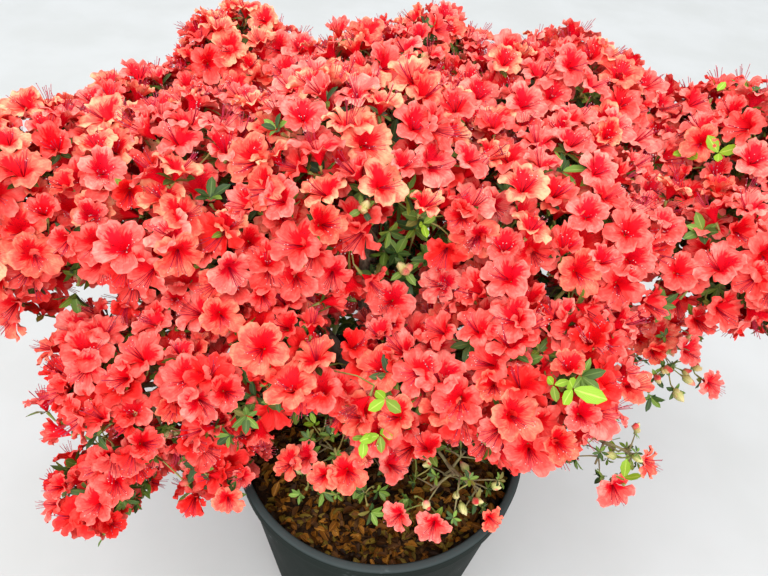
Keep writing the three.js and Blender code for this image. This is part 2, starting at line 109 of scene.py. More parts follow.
def finishPiece(piece, slot, *nodes):
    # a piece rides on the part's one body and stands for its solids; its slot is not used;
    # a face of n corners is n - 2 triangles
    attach(piece, "root")
    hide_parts(*nodes)
    mesh = piece.data
    print("piece", piece.name, len(mesh.loops) - 2 * len(mesh.polygons), "triangles")


def tubes(paths, radii, sides):
    # many tubes at once: rings square to each path, corner k at angle 2 pi k / sides, both ends closed
    count, steps = paths.shape[:2]
    tangent = unit(np.gradient(paths, axis=1))
    sweep = np.abs(paths[:, -1] - paths[:, 0])
    reference = np.eye(3)[sweep.argmin(axis=1)][:, None]
    side = unit(np.cross(tangent, np.broadcast_to(reference, tangent.shape)))
    other = np.cross(tangent, side)
    angle = 2 * np.pi * np.arange(sides) / sides
    ring = np.cos(angle)[:, None] * side[:, :, None] + np.sin(angle)[:, None] * other[:, :, None]
    points = paths[:, :, None] + radii[..., None, None] * ring
    i, k = np.meshgrid(np.arange(steps - 1), np.arange(sides), indexing="ij")
    low, following = i * sides + k, i * sides + (k + 1) % sides
    wall = np.stack([low, following, following + sides, low + sides], -1).reshape(-1, 4)
    offset = (np.arange(count) * steps * sides)[:, None, None]
    start = np.arange(sides)[::-1][None, None] + offset
    end = (steps - 1) * sides + np.arange(sides)[None, None] + offset
    caps = np.concatenate([start, end]).reshape(-1, sides)
    return points.reshape(-1, 3), [(wall[None] + offset).reshape(-1, 4), caps]


def stamp(shape, places, axes, sizes, tiles, tileCount):
    # copies of one small shape: point = place + axes times (size times template point); its map goes to
    # the copy's tile, y = (tile + edge + (1 - 2 edge) y) / count
    points, faces, cornerUv = shape
    placed = places[:, None] + np.einsum("nij,nvj->nvi", axes, sizes[:, None, None] * points[None])
    offset = (np.arange(len(places)) * len(points))[:, None, None]
    blocks = [(block[None] + offset).reshape(-1, block.shape[1]) for block in faces]
    if cornerUv is None:
        return placed.reshape(-1, 3), blocks, None
    inTile = cornerUv.reshape(-1, 2)
    uv = np.broadcast_to(inTile, (len(places),) + inTile.shape).copy()
    uv[..., 1] = (tiles[:, None] + tileEdge + (1 - 2 * tileEdge) * uv[..., 1]) / tileCount
    return placed.reshape(-1, 3), blocks, uv.reshape(-1, 2)


def joinParts(parts):
    # parts end to end, each one points, blocks of faces and perhaps a map; the blocks are kept apart by
    # their number of corners
    points, byCorners, maps, offset = [], {}, [], 0
    for placed, blocks, *partMaps in parts:
        points.append(placed)
        for block in blocks:
            byCorners.setdefault(block.shape[1], []).append(block + offset)
        maps += [uv for uv in partMaps if uv is not None]
        offset += len(placed)
    faces = [np.concatenate(blocks) for blocks in byCorners.values()]
    return np.concatenate(points), faces, np.concatenate(maps) if maps else None


def stampVarieties(shapes, variety, chosen, places, axes, sizes, tiles=0, tileCount=1):
    # at each chosen place its own variety of a shape; places and sizes are in millimetres
    tiles = np.broadcast_to(tiles, len(places))
    parts = []
    for number, shape in enumerate(shapes):
        own = chosen[variety[chosen] == number]
        parts.append(stamp(shape, places[own] * mm, axes[own], sizes[own] * mm, tiles[own], tileCount))
    return joinParts(parts)


def frames(facing, draws, straight=0.6):
    # axes for stamped shapes: z along facing, x as near up as can be, turned by up to "straight" radians
    reference = up + 0.35 * np.stack([chance(draws, 21) - 0.5, chance(draws, 22) - 0.5, 0 * draws], -1)
    first = unit(reference - (reference * facing).sum(-1, keepdims=True) * facing)
    second = np.cross(facing, first)
    turn = ((chance(draws, 23) - 0.5) * 2 * straight)[:, None]
    x = first * np.cos(turn) + second * np.sin(turn)
    return np.stack([x, np.cross(facing, x), facing], -1)


def gridFaces(rows, columns, closed=False):
    # quads of a grid of points, counted row by row; closed joins the last column to the first
    i, k = np.meshgrid(np.arange(rows - 1), np.arange(columns if closed else columns - 1), indexing="ij")
    low, following = i * columns + k, i * columns + (k + 1) % columns
    return np.stack([low, following, following + columns, low + columns], -1).reshape(-1, 4)


def gridUv(rows, columns):
    # the map corners of gridFaces' quads: x runs with the columns, y with the rows
    y, x = np.meshgrid(rows, columns, indexing="ij")
    at = np.stack([x, y], -1)
    return np.stack([at[:-1, :-1], at[:-1, 1:], at[1:, 1:], at[1:, :-1]], 2).reshape(-1, 4, 2)


def lathe(profile, sides, relief):
    # a profile of (radius, height) turned about Z, x = r cos a and y = r sin a, with the rings changed by
    # relief; it starts and ends on the axis, closed there by fans
    radius, height = profile.T
    angle = 2 * np.pi * np.arange(sides) / sides
    r, a = np.meshgrid(radius[1:-1], angle, indexing="ij")
    r, z = relief(r, a, np.broadcast_to(height[1:-1, None], r.shape).copy())
    rings = np.stack([r * np.cos(a), r * np.sin(a), z], -1).reshape(-1, 3)
    points = np.concatenate([rings, [[0, 0, height[0]], [0, 0, height[-1]]]])
    k = np.arange(sides)
    under = np.stack([k, np.full(sides, len(rings)), (k + 1) % sides], -1)
    top = len(rings) - sides
    over = np.stack([top + k, top + (k + 1) % sides, np.full(sides, len(rings) + 1)], -1)
    return points, [gridFaces(len(radius) - 2, sides, True), under, over]


# Materials

def newMaterial(name, roughness, **sockets):
    # a Principled shader with its plain values on its own sockets
    material = bpy.data.materials.new(name)
    material.use_nodes = True
    shader = material.node_tree.nodes["Principled BSDF"]
    shader.inputs["Roughness"].default_value = roughness
    for socket, value in sockets.items():
        shader.inputs[socket.replace("_", " ")].default_value = value
    return material, material.node_tree, shader


def node(tree, kind, inputs=None, **settings):
    # a shader node; each input is a plain value or the socket of another node
    made = tree.nodes.new(kind)
    for key, value in settings.items():
        setattr(made, key, value)
    for key, value in (inputs or {}).items():
        if isinstance(value, bpy.types.NodeSocket):
            tree.links.new(value, made.inputs[key])
        else:
            made.inputs[key].default_value = value
    return made


def maths(tree, operation, *values):
    # the operation on one to three values
    return node(tree, "ShaderNodeMath", dict(enumerate(values)), operation=operation).outputs[0]


def mapRange(tree, value, fromLow, fromHigh, toLow=0.0, toHigh=1.0, kind="SMOOTHSTEP"):
    # t = (value - fromLow) / (fromHigh - fromLow) held to 0..1 and eased by 3t^2 - 2t^3, then from toLow
    # to toHigh; the kind LINEAR leaves out the easing
    inputs = {0: value, 1: fromLow, 2: fromHigh, 3: toLow, 4: toHigh}
    return node(tree, "ShaderNodeMapRange", inputs, interpolation_type=kind).outputs[0]


def mixColours(tree, factor, one, two):
    # one + factor (two - one)
    return node(tree, "ShaderNodeMix", {0: factor, 6: one, 7: two}, data_type="RGBA").outputs[2]


def ramp(tree, value, stops, kind="LINEAR"):
    # colours at places from 0 to 1, blended between, or held to the next one where the kind is CONSTANT
    made = node(tree, "ShaderNodeValToRGB", {0: value})
    made.color_ramp.interpolation = kind
    elements = made.color_ramp.elements
    while len(elements) < len(stops):
        elements.new(0.5)
    for element, (position, tint) in zip(elements, stops):
        element.position = position
        element.color = tint
    return made.outputs[0]


def noise(tree, coordinates, scale, detail=4.0, roughness=0.55, distortion=0.0):
    # cloudy noise about 0.5 with "scale" clouds for each unit of the coordinates
    inputs = {"Vector": coordinates, "Scale": scale, "Detail": detail, "Roughness": roughness,
              "Distortion": distortion}
    return node(tree, "ShaderNodeTexNoise", inputs).outputs[0]


def stretched(tree, coordinates, x, y, z):
    # coordinates times (x, y, z)
    return node(tree, "ShaderNodeMapping", {"Vector": coordinates, "Scale": (x, y, z)}).outputs[0]


def objectCoordinates(tree, tall=1.0):
    # places on the piece in metres, with Z times "tall"
    return stretched(tree, node(tree, "ShaderNodeTexCoord").outputs["Object"], 1.0, 1.0, tall)


def paint(tree, shader, tint):
    # the finish's colour
    tree.links.new(tint, shader.inputs["Base Color"])


def bump(tree, shader, height, distance, strength=1.0):
    # a height from 0 to 1 as relief of "distance" metres in the shading
    made = node(tree, "ShaderNodeBump", {"Height": height, "Distance": distance, "Strength": strength})
    tree.links.new(made.outputs[0], shader.inputs["Normal"])


def tileCoordinates(tree, tileCount):
    # the stamped map: x runs across the shape, y holds the tile number and the way along the shape
    source = node(tree, "ShaderNodeUVMap", uv_map=mapName).outputs[0]
    parts = node(tree, "ShaderNodeSeparateXYZ", {0: source})
    scaled = maths(tree, "MULTIPLY", parts.outputs[1], float(tileCount))
    tile = maths(tree, "FLOOR", scaled)
    inTile = maths(tree, "SUBTRACT", scaled, tile)
    along = mapRange(tree, inTile, tileEdge, 1 - tileEdge, kind="LINEAR")
    share = maths(tree, "DIVIDE", maths(tree, "ADD", tile, 0.5), float(tileCount))
    return source, parts.outputs[0], along, share


def tileColours(tree, share, varieties):
    # for each column of the varieties' colours, the one of the tile's own variety
    count = len(varieties)
    columns = [[(i / count, tint) for i, tint in enumerate(column)] for column in zip(*varieties)]
    return [ramp(tree, share, stops, "CONSTANT") for stops in columns]


def plainMaterial(name, tint, second, roughness, **sockets):
    # a soft mottle between two near colours
    material, tree, shader = newMaterial(name, roughness, **sockets)
    mottle = mapRange(tree, noise(tree, objectCoordinates(tree), 55.0, 3.0), 0.35, 0.65)
    paint(tree, shader, mixColours(tree, mottle, tint, second))
    return material


# Crown: the same masses and limbs as the solids, by the same rule, in millimetres

crown = [
    # name, turn about the pot's middle in degrees, distance from it, height, size, the limb that it grows
    # on, how far along that limb, and its bough's radius
    ("middle", 107, 136, 590, 142, "trunk", 1.0, 11),
    ("left", 151, 235, 550, 140, "trunk", 0.86, 10),
    ("right", 34, 198, 540, 134, "trunk", 0.9, 10),
    ("front_left", -172, 130, 448, 99, "trunk", 0.5, 8),
    ("front_right", -4, 145, 461, 112, "trunk", 0.62, 9),
    ("front", -51, 28, 430, 84, "trunk", 0.78, 6),
    ("back", 100, 350, 571, 116, "middle", 0.55, 8),
    ("back_left", 120, 488, 571, 103, "left", 0.5, 9),
    ("back_right", 57, 358, 579, 142, "right", 0.6, 8),
    ("back_top", 87, 434, 589, 94, "middle", 0.8, 7),
    ("far_left", 165, 400, 535, 135, "left", 0.7, 8),
    ("far_right", 16, 381, 546, 101, "right", 0.4, 7),
    ("far_right_back", 30, 479, 594, 109, "far_right", 0.6, 6),
    ("side_left", 140, 444, 519, 113, "far_left", 0.35, 6),
    ("low_left", -172, 261, 408, 106, "trunk", 0.3, 8),
    ("low_left_tip", -165, 325, 281, 68, "low_left", 0.75, 5),
    ("low_left_front", -155, 202, 343, 52, "low_left", 0.5, 5),
    ("low_back_left", 128, 442, 448, 118, "back_left", 0.4, 7),
    ("low_back", 92, 450, 452, 122, "back", 0.4, 7),
    ("low_back_right", 60, 432, 452, 118, "back_right", 0.5, 7),
    ("right_side", 20, 368, 382, 78, "far_right", 0.4, 5),
    ("low_right", -5, 271, 342, 64, "front_right", 0.7, 4),
    ("low_front", -119, 82, 340, 68, "trunk", 0.42, 4),
    ("low_front_right", -44, 122, 338, 68, "front_right", 0.3, 4),
    ("inner", 84, 150, 428, 96, "trunk", 0.7, 7),
]
bareMasses = ["right_side", "low_right", "low_front", "low_front_right"]
growth = {
    "flattening": 0.8, "gap": 0.35, "fullSize": 122, "bareScale": 0.8,
    "boughEntry": 0.6, "boughArch": 0.14, "boughTipShare": 0.5,
    "forksPerMass": 5, "forkReach": 0.5, "trussSpacing": 96, "bareSpacing": 1.3,
    "buriedDepth": 0.78, "facingStray": 0.6, "trussDepth": 32, "leafyFacing": -0.35,
}
potLook = {
    "height": 300, "rimRadius": 180, "footRadius": 146, "wall": 4, "rimBand": 24, "rimStep": 6,
    "outOfRound": 0.7, "soilLevel": 266, "soilMound": 6, "soilRadius": 164, "soilLumps": 2.2,
}
trunkLook = {"foot": (-14, 8), "fork": (-22, 26, 352.0), "thick": 25, "thin": 17}


def depthIn(mass, points):
    # how far points are from a mass's centre, where 1 is on its skin
    return np.linalg.norm((points - mass["centre"]) / mass["reach"], axis=-1)


def roomIn(mass, points):
    # least distance to the planes towards the neighbours, nearer to the smaller of each two
    room = np.full(np.shape(points)[:-1], np.inf)
    for other in masses:
        if other is not mass:
            apart = other["centre"] - mass["centre"]
            distance = np.linalg.norm(apart)
            border = distance * mass["size"] / (mass["size"] + other["size"])
            room = np.minimum(room, border - (points - mass["centre"]) @ (apart / distance))
    return room


def makeMasses():
    # centre = (out cos turn, out sin turn, height), and reach = size along X and Y, and less along Z
    made = []
    for number, (name, turn, out, height, size, limb, at, thick) in enumerate(crown):
        angle = math.radians(turn)
        bare = name in bareMasses
        made.append({
            "name": name, "seed": number + 1, "size": size, "bare": bare,
            "on": limb, "at": at, "thick": thick,
            "centre": np.array([out * math.cos(angle), out * math.sin(angle), height]),
            "reach": size * np.array([1, 1, growth["flattening"]]),
            "scale": min(1, size / growth["fullSize"]) * (growth["bareScale"] if bare else 1),
        })
    return made


def makeLimbs():
    # the trunk's curve, then one rising and arching curve for every mass, which ends inside it
    foot = np.array([*trunkLook["foot"], potLook["soilLevel"] + growth["gap"]])
    fork = np.array(trunkLook["fork"])
    middle = np.array([*foot[:2], (foot[2] + fork[2]) / 2])
    made = {"trunk": (foot, middle, fork, trunkLook["thick"], trunkLook["thin"])}
    for mass in masses:
        start = bezier(*made[mass["on"]][:3], mass["at"])
        inward = start - mass["centre"]
        share = min(growth["boughEntry"] / depthIn(mass, start), 0.6)
        tip = mass["centre"] + inward * share
        while roomIn(mass, tip) < mass["thick"] + growth["gap"] and share > 0.05:
            share *= 0.9
            tip = mass["centre"] + inward * share
        bend = (start + tip) / 2 + up * growth["boughArch"] * np.linalg.norm(start - tip)
        mass["tip"] = tip
        mass["tipRadius"] = mass["thick"] * growth["boughTipShare"]
        made[mass["name"]] = (start, bend, tip, mass["thick"], mass["tipRadius"])
    return made


masses = makeMasses()
limbs = makeLimbs()
massNodes = ["mass_" + mass["name"] for mass in masses]
print("crown laid out:", len(masses), "masses")


# Pot

def potMaterial():
    # dark plastic with cloudy shades, scuffs, a painted highlight along the lip and a dusty foot
    material, tree, shader = newMaterial("potPlastic", 0.6, Specular_IOR_Level=0.03)
    place = objectCoordinates(tree)
    cloudy = noise(tree, place, 7.0, 5.0, 0.6)
    shades = [(0.3, colour(24, 29, 27)), (0.55, colour(30, 36, 33)), (0.75, colour(39, 45, 42))]
    scratch = noise(tree, objectCoordinates(tree, 4.0), 60.0, 3.0, 0.5, 1.5)
    scuffed = mapRange(tree, scratch, 0.62, 0.74)
    patchy = mapRange(tree, noise(tree, place, 11.0, 2.0), 0.5, 0.65)
    scuffs = maths(tree, "MULTIPLY", scuffed, patchy)
    worn = mixColours(tree, scuffs, ramp(tree, cloudy, shades), colour(118, 124, 124))
    height = node(tree, "ShaderNodeSeparateXYZ", {0: place}).outputs[2]
    # painted highlight: the top 3 mm of the rim are mixed part way to a pale grey
    lip = mapRange(tree, height, (potLook["height"] - 3.2) * mm, (potLook["height"] - 0.4) * mm)
    wornAndLipHighlight = mixColours(tree, maths(tree, "MULTIPLY", lip, 0.3), worn, colour(104, 112, 113))
    dust = mapRange(tree, height, 60 * mm, 0.0, 0.0, 0.45)
    dusty = maths(tree, "MULTIPLY", dust, mapRange(tree, cloudy, 0.35, 0.6))
    paint(tree, shader, mixColours(tree, dusty, wornAndLipHighlight, colour(120, 112, 100)))
    tree.links.new(mapRange(tree, cloudy, 0.3, 0.75, 0.48, 0.65), shader.inputs["Roughness"])
    bump(tree, shader, noise(tree, place, 420.0, 2.0), 0.0004, 0.5)
    return material


def makePot():
    # the solid's own profile with rounded edges, turned about Z
    look = potLook
    foot, rim, top = look["footRadius"], look["rimRadius"], look["height"]
    wallTop = rim - look["rimStep"]
    shoulder = top - look["rimBand"]
    inside = wallTop - look["wall"]
    under = [(0, 3), (118, 3), (122, 0.3), (foot - 5, 0), (foot - 2, 0.8), (foot, 3.5), (foot + 2.4, 24),
             (foot + 1.6, 27)]
    taper = [(foot + (wallTop - foot) * s, shoulder * s) for s in np.linspace(0.1, 0.985, 12)]
    band = [(wallTop + 0.2, shoulder - 1.5), (rim - 2.4, shoulder + 0.4), (rim - 1.2, shoulder + 2),
            (rim - 0.9, shoulder + 4), (rim - 0.9, top - 9), (rim - 0.5, top - 6.5), (rim, top - 4.5)]
    lip = [(rim - 0.3, top - 1.7), (rim - 1.6, top - 0.3), (rim - 3.6, top), (rim - 6.4, top - 0.2),
           (rim - 8.4, top - 1.0), (inside, top - 2.6)]
    lining = [(inside - 0.4, top - 8), (inside - 0.8, shoulder), (inside - 2.2, shoulder - 20),
              (inside - 4.5, 236), (0, 236)]

    def wobble(r, a, z):
        # the thin wall is out of round by (z / top)^2 (1 + cos(2a + 0.6))
        return r - look["outOfRound"] * mm * (z / (top * mm)) ** 2 * (1 + np.cos(2 * a + 0.6)), z

    profile = np.array(under + taper + band + lip + lining) * mm
    finishPiece(makeMesh("pot_body", potMaterial(), *lathe(profile, 160, wobble)), "pot", "pot")


def waves(x, y, seed, scale):
    # a lumpy height from crossed sine waves, within about -1 to 1; scale is the longest wavelength
    total = np.zeros_like(x)
    for k in range(7):
        angle = 2 * np.pi * chance(seed, k + 1)
        rate = 2 * np.pi / (scale * 0.62 ** k)
        across = rate * (x * np.cos(angle) + y * np.sin(angle)) + 6 * chance(seed, k + 11)
        total += 0.72 ** k * np.sin(across + 1.7 * np.sin(across * 0.43 + k))
    return total / 2.6


def soilHeight(x, y):
    # flat to 0.55 of the rim's radius, then falling by ((r - 0.55) / 0.4)^1.5 of the mound, with lumps
    look = potLook
    r = np.hypot(x, y) / (look["rimRadius"] * mm)
    mound = (look["soilLevel"] - look["soilMound"] * np.clip((r - 0.55) / 0.4, 0, 1) ** 1.5) * mm
    return mound + look["soilLumps"] * mm * waves(x, y, 5, 0.06)


def soilMaterial():
    # brown grains, darker where damp
    material, tree, shader = newMaterial("pottingMix", 0.92, Specular_IOR_Level=0.2)
    place = objectCoordinates(tree)
    grain = noise(tree, place, 160.0, 6.0, 0.7)
    coarse = noise(tree, place, 45.0, 4.0, 0.6)
    browns = [(0.3, colour(22, 15, 9)), (0.5, colour(52, 34, 20)), (0.72, colour(92, 62, 36))]
    damp = mapRange(tree, coarse, 0.4, 0.65, 0.0, 0.6)
    paint(tree, shader, mixColours(tree, damp, ramp(tree, grain, browns), colour(30, 19, 11)))
    bump(tree, shader, maths(tree, "ADD", grain, coarse), 0.003, 0.9)
    return material


def makeSoil():
    # a floor, a wall of two rings, then rings inwards whose height is the lumpy mound
    rings = np.linspace(4, potLook["soilRadius"], 70)[::-1]
    radius = np.concatenate([[0, 160, 165], rings, [0]])
    height = np.concatenate([[240, 240, 255], np.full(71, potLook["soilLevel"])])

    def lumpyTop(r, a, z):
        # z = soilHeight(r cos a, r sin a) on all but the wall
        z[2:] = soilHeight(r * np.cos(a), r * np.sin(a))[2:]
        return r, z

    soil = makeMesh("soil", soilMaterial(), *lathe(np.stack([radius, height], -1) * mm, 150, lumpyTop))
    finishPiece(soil, "potting_mix", "potting_mix")


# Wood

barkLook = {
    "sides": 22, "stepLength": 4.0, "trunkSides": 56, "trunkSteps": 64, "sunk": 0.06, "wander": 0.045,
    "roots": 5, "rootSize": 15, "rootHeight": 30, "collar": 0.35, "collarLength": 14,
    "fissure": 0.07, "lump": 0.06,
}


def barkRelief(angle, along, seed):
    # long fissures that wander round the limb, crossed by low swellings; about -1 to 1
    drift = 0.9 * np.sin(along / 37 + seed) + 0.5 * np.sin(along / 13 + 2 * seed)
    fissure = np.sin(7 * angle + drift * 2) * 0.5 + 0.35 * np.sin(13 * angle - drift * 3 + along / 9)
    fine = 0.25 * np.sin(19 * angle + along / 3.1 + seed) * np.sin(along / 5.3 + 3 * angle)
    return fissure + fine


def limbTube(name, number):
    # rings along the limb's curve, radius = taper x (1 + fissures + swellings), closed at both ends; the
    # trunk has a root flare, and a bough has small bends and a collar that dies away along it
    a, b, c, thick, thin = limbs[name]
    look = barkLook
    trunk = name == "trunk"
    length = np.linalg.norm(c - a) * 1.05
    steps = look["trunkSteps"] if trunk else max(8, int(length / look["stepLength"]))
    sides = look["trunkSides"] if trunk else look["sides"]
    t = np.linspace(-look["sunk"] if trunk else 0, 1, steps)
    path = bezier(a, b, c, t)
    if not trunk:
        wander = np.sin(np.pi * t)[:, None] * look["wander"] * length
        across = unit(np.cross(c - a, up))
        path = path + wander * across * np.sin(5.1 * t + number)[:, None] * 0.6
        path = path + wander * up * np.sin(7.3 * t + 2 * number)[:, None] * 0.35
    points, faces = tubes(path[None], np.ones((1, steps)), sides)
    ringPoints = points.reshape(steps, sides, 3) - path[:, None]
    angle = 2 * np.pi * np.arange(sides) / sides
    along, around = np.meshgrid(t * length, angle, indexing="ij")
    radius = (thick + (thin - thick) * t)[:, None]
    if trunk:
        flare = np.exp(-np.clip(t, 0, 1) * length / look["rootHeight"])[:, None]
        radius = radius + look["rootSize"] * flare * (0.6 + 0.4 * np.cos(look["roots"] * around))
    else:
        radius = radius * (1 + look["collar"] * np.exp(-along / look["collarLength"]))
    relief = look["fissure"] * barkRelief(around, along, number)
    relief += look["lump"] * np.sin(along / 17 + 2 * around)
    surface = path[:, None] + ringPoints * (radius * (1 + relief))[..., None]
    return surface.reshape(-1, 3), faces


def barkMaterial():
    # grey-brown streaks along the limb, greyer patches and spots of lichen
    material, tree, shader = newMaterial("bark", 0.85)
    place = objectCoordinates(tree)
    streaks = noise(tree, objectCoordinates(tree, 0.35), 150.0, 6.0, 0.65, 0.6)
    patches = mapRange(tree, noise(tree, place, 38.0, 4.0, 0.6), 0.45, 0.62, 0.0, 0.55)
    woods = [(0.32, colour(62, 50, 40)), (0.5, colour(118, 101, 82)), (0.68, colour(164, 148, 124))]
    grey = mixColours(tree, patches, ramp(tree, streaks, woods), colour(128, 124, 112))
    lichen = mapRange(tree, noise(tree, place, 95.0, 3.0), 0.64, 0.72, 0.0, 0.5)
    paint(tree, shader, mixColours(tree, lichen, grey, colour(132, 142, 104)))
    bump(tree, shader, streaks, 0.0016, 0.8)
    return material


def makeLimbPieces():
    # the trunk is one piece and the boughs are another
    material = barkMaterial()
    points, faces = limbTube("trunk", 0)
    finishPiece(makeMesh("trunk_bark", material, points * mm, faces), "bark", "trunk")
    points, faces, _ = joinParts([limbTube(mass["name"], mass["seed"]) for mass in masses])
    boughs = makeMesh("boughs_bark", material, points * mm, faces)
    finishPiece(boughs, "bark", *["bough_" + mass["name"] for mass in masses])


# Growth: forks, trusses, flowers and leaves of every mass

flowerLook = {
    # share of the reach and spacing of each layer, from the skin inwards
    "layers": [(1.0, 34), (0.84, 42), (0.66, 58), (0.45, 80)], "bareSpacing": 1.6, "buried": 0.84,
    "depth": 25, "sunk": (0, 14), "size": (0.84, 1.1), "lowSize": 0.9, "highSize": 0.1, "lowBelow": 430,
    "stray": 1.5, "jitter": 0.22, "lump": 0.07, "join": 0.6, "joinMost": 1.6,
    # how far a flower's middle is from its foot, and how far both keep from the pot
    "middle": 15, "footMargin": 6, "middleMargin": 10,
    "buds": 0.03, "bareBuds": 0.34, "rosettes": 0.012, "downLimit": -0.9, "shadeLimit": -0.45,
    "bareShade": 0.3, "shadeLeaves": 0.5,
}
clearings = {
    # openings in the blossom: ends of each one's middle line, radius, and whether leaves keep out too
    "leafyTop": ((14, -12, 625), (28, 130, 500), 26, False),
    "leafyLow": ((10, -22, 585), (18, 80, 465), 28, False),
    "leafyLeft": ((-36, -3, 573), (-38, 95, 468), 19, False),
    "leafyFront": ((-25, 0, 608), (-13, 12, 575), 12, False),
    "leafyDeep": ((-9, 29, 591), (4, 117, 478), 20, False),
    "leafyRight": ((40, 101, 479), (42, 170, 400), 22, False),
    "stemTop": ((-46, -40, 525), (-52, 90, 400), 21, True),
    "stemLow": ((-44, -72, 490), (-52, 60, 372), 20, True),
    "left": ((-297, -8, 520), (-382, 150, 370), 21, True),
    "leftEdge": ((-377, 19, 455), (-382, 36, 441), 16, False),
    "rightHigh": ((246, 0, 585), (300, 110, 490), 18, False),
    "rightLow": ((312, -5, 500), (370, 90, 410), 22, True),
    "rightEdge": ((324, 26, 544), (365, 103, 470), 15, False),
    "twiggyLeft": ((-82, -120, 470), (-100, -42, 361), 24, False),
    "twiggyRight": ((-50, -100, 410), (-58, -30, 317), 24, False),
    "lowLeft": ((-284, -130, 415), (-350, -45, 285), 24, False),
    "lowLeftTip": ((-258, -112, 305), (-268, -98, 250), 22, False),
    "notchLeft": ((-175, 420, 650), (-210, 600, 580), 24, True),
    "notchRight": ((104, 470, 646), (122, 640, 580), 22, True),
    "farNotch": ((336, 300, 655), (390, 420, 600), 20, True),
    "lowRight": ((200, -92, 430), (220, -58, 365), 26, False),
}
flower, buds, leaves, limeShoot = range(4)
accentLook = {"facing": (0, -0.4, 0.7), "room": 19, "flowerStand": 20, "stand": 12, "firstDraw": 90000}
accents = [
    # what stands out of the crown: the mass that it grows on, its kind, then size and place of each
    ("front", limeShoot, [(1.0, -3, -103, 436), (0.9, -1, -88, 474), (0.9, -18, -106, 432)]),
    ("front_right", limeShoot, [(1.15, 170, -90, 516)]),
    ("front_right", leaves, [(0.8, 154, -84, 512)]),
    ("middle", leaves, [(0.8, -126, 71, 667)]),
    ("middle", limeShoot, [(0.6, 22, 30, 600)]),
    ("far_right_back", limeShoot, [(1.0, 323, 196, 612), (1.0, 349, 177, 624)]),
    ("inner", buds, [(1.1, 9, 36, 536), (0.9, 34, 40, 552), (0.8, -20, 55, 512)]),
    ("inner", leaves, [
        (1.0, 16, 62, 570), (1.0, 0, 62, 536), (1.0, 34, 55, 540), (1.0, -22, 62, 500), (0.9, 12, 42, 516),
        (1.2, -57, 99, 385), (1.2, -67, 104, 387), (1.2, -46, 94, 386), (1.2, -48, 104, 388),
        (1.2, -38, 98, 389),
    ]),
    ("middle", flower, [(1.0, -63, 101, 560)]),
    ("inner", flower, [(1.0, -2, 19, 505)]),
    ("front", flower, [(0.95, -13, -14, 492), (1.0, -8, -46, 470), (0.9, -4, -66, 447)]),
    ("low_front", flower, [
        (0.75, -98, -99, 365), (0.7, -82, -92, 368), (0.7, -59, -110, 362), (0.95, -33, -104, 364),
        (0.8, -18, -88, 372), (0.85, 16, -91, 366),
    ]),
    ("low_front", buds, [(0.8, -70, -112, 352), (0.8, 0, -78, 366)]),
    ("low_front_right", flower, [(0.7, 23, -131, 330), (0.8, 62, -137, 326), (0.6, 126, -125, 328)]),
    ("low_front_right", buds, [
        (0.8, 50, -78, 358), (0.8, 102, -88, 356), (0.8, 134, -98, 348), (0.8, 84, -116, 352),
        (0.8, 111, -118, 344),
    ]),
    ("low_left_front", flower, [(0.75, -145, -112, 350), (0.7, -156, -136, 342)]),
    ("low_front", leaves, [(0.9, -4, -125, 320), (0.8, 3, -106, 332)]),
    ("low_front_right", leaves, [(0.8, 34, -110, 328)]),
    ("low_front", leaves, [(0.7, -84, -118, 334), (0.8, -56, -72, 384)]),
    ("low_left_front", buds, [(0.8, -160, -126, 336)]),
    ("low_right", flower, [(0.95, 270, -79, 330), (0.85, 319, -37, 330)]),
    ("right_side", flower, [
        (0.8, 408, 56, 372), (0.85, 407, 142, 376), (0.85, 380, 121, 374), (0.9, 322, 115, 420),
        (0.9, 342, 98, 410), (0.85, 331, 76, 400), (0.9, 361, 116, 420), (0.85, 377, 84, 400),
        (0.8, 317, 98, 400),
    ]),
    ("right_side", buds, [(0.8, 357, 72, 370), (0.8, 385, 70, 370), (0.8, 403, 89, 370)]),
    ("far_left", flower, [(0.95, -423, 1, 440)]),
    ("low_left", flower, [
        (0.9, -372, -20, 430), (0.95, -246, -95, 352), (0.9, -196, -92, 348), (0.9, -226, -72, 362),
    ]),
    ("right_side", buds, [
        (1.1, 348, 60, 385), (1.0, 378, 56, 375), (1.1, 364, 40, 365), (1.0, 338, 50, 375),
        (0.9, 392, 66, 385),
    ]),
    ("right_side", leaves, [(1.0, 334, 42, 352)]),
    ("low_front", leaves, [
        (0.6, -91, -51, 392), (0.65, -74, -62, 388), (0.6, -60, -51, 394), (0.6, -42, -64, 388),
        (0.65, -79, -76, 380),
    ]),
    ("low_front", buds, [(0.7, -68, -41, 398)]),
    ("low_front", leaves, [(0.6, -36, -50, 394)]),
]
accentList = [(name, kind, size, np.array(place)) for name, kind, run in accents for size, *place in run]


def skinPoints(mass, count, share, seed):
    # points spread evenly over a mass's skin by the golden angle
    k = np.arange(count)
    z = 1 - 2 * (k + 0.5) / count
    ring = np.sqrt(1 - z * z)
    angle = k * np.pi * (3 - np.sqrt(5)) + seed
    outward = np.stack([ring * np.cos(angle), ring * np.sin(angle), z], -1)
    return mass["centre"] + outward * mass["reach"] * share


def latticeCount(size, spacing):
    # how many points of a spacing a mass's skin has room for, 4 pi size^2 flattening / spacing^2
    return round(4 * np.pi * size ** 2 * growth["flattening"] / spacing ** 2)


def outwardAt(mass, points):
    # square to the mass's skin
    return unit((points - mass["centre"]) / mass["reach"] ** 2)


def facingAt(outward, draws, stray):
    # outwards and a little up, with some stray
    turn = np.stack([chance(draws, 1) - 0.5, chance(draws, 2) - 0.5, chance(draws, 3) - 0.25], -1)
    return unit(outward + stray * turn)


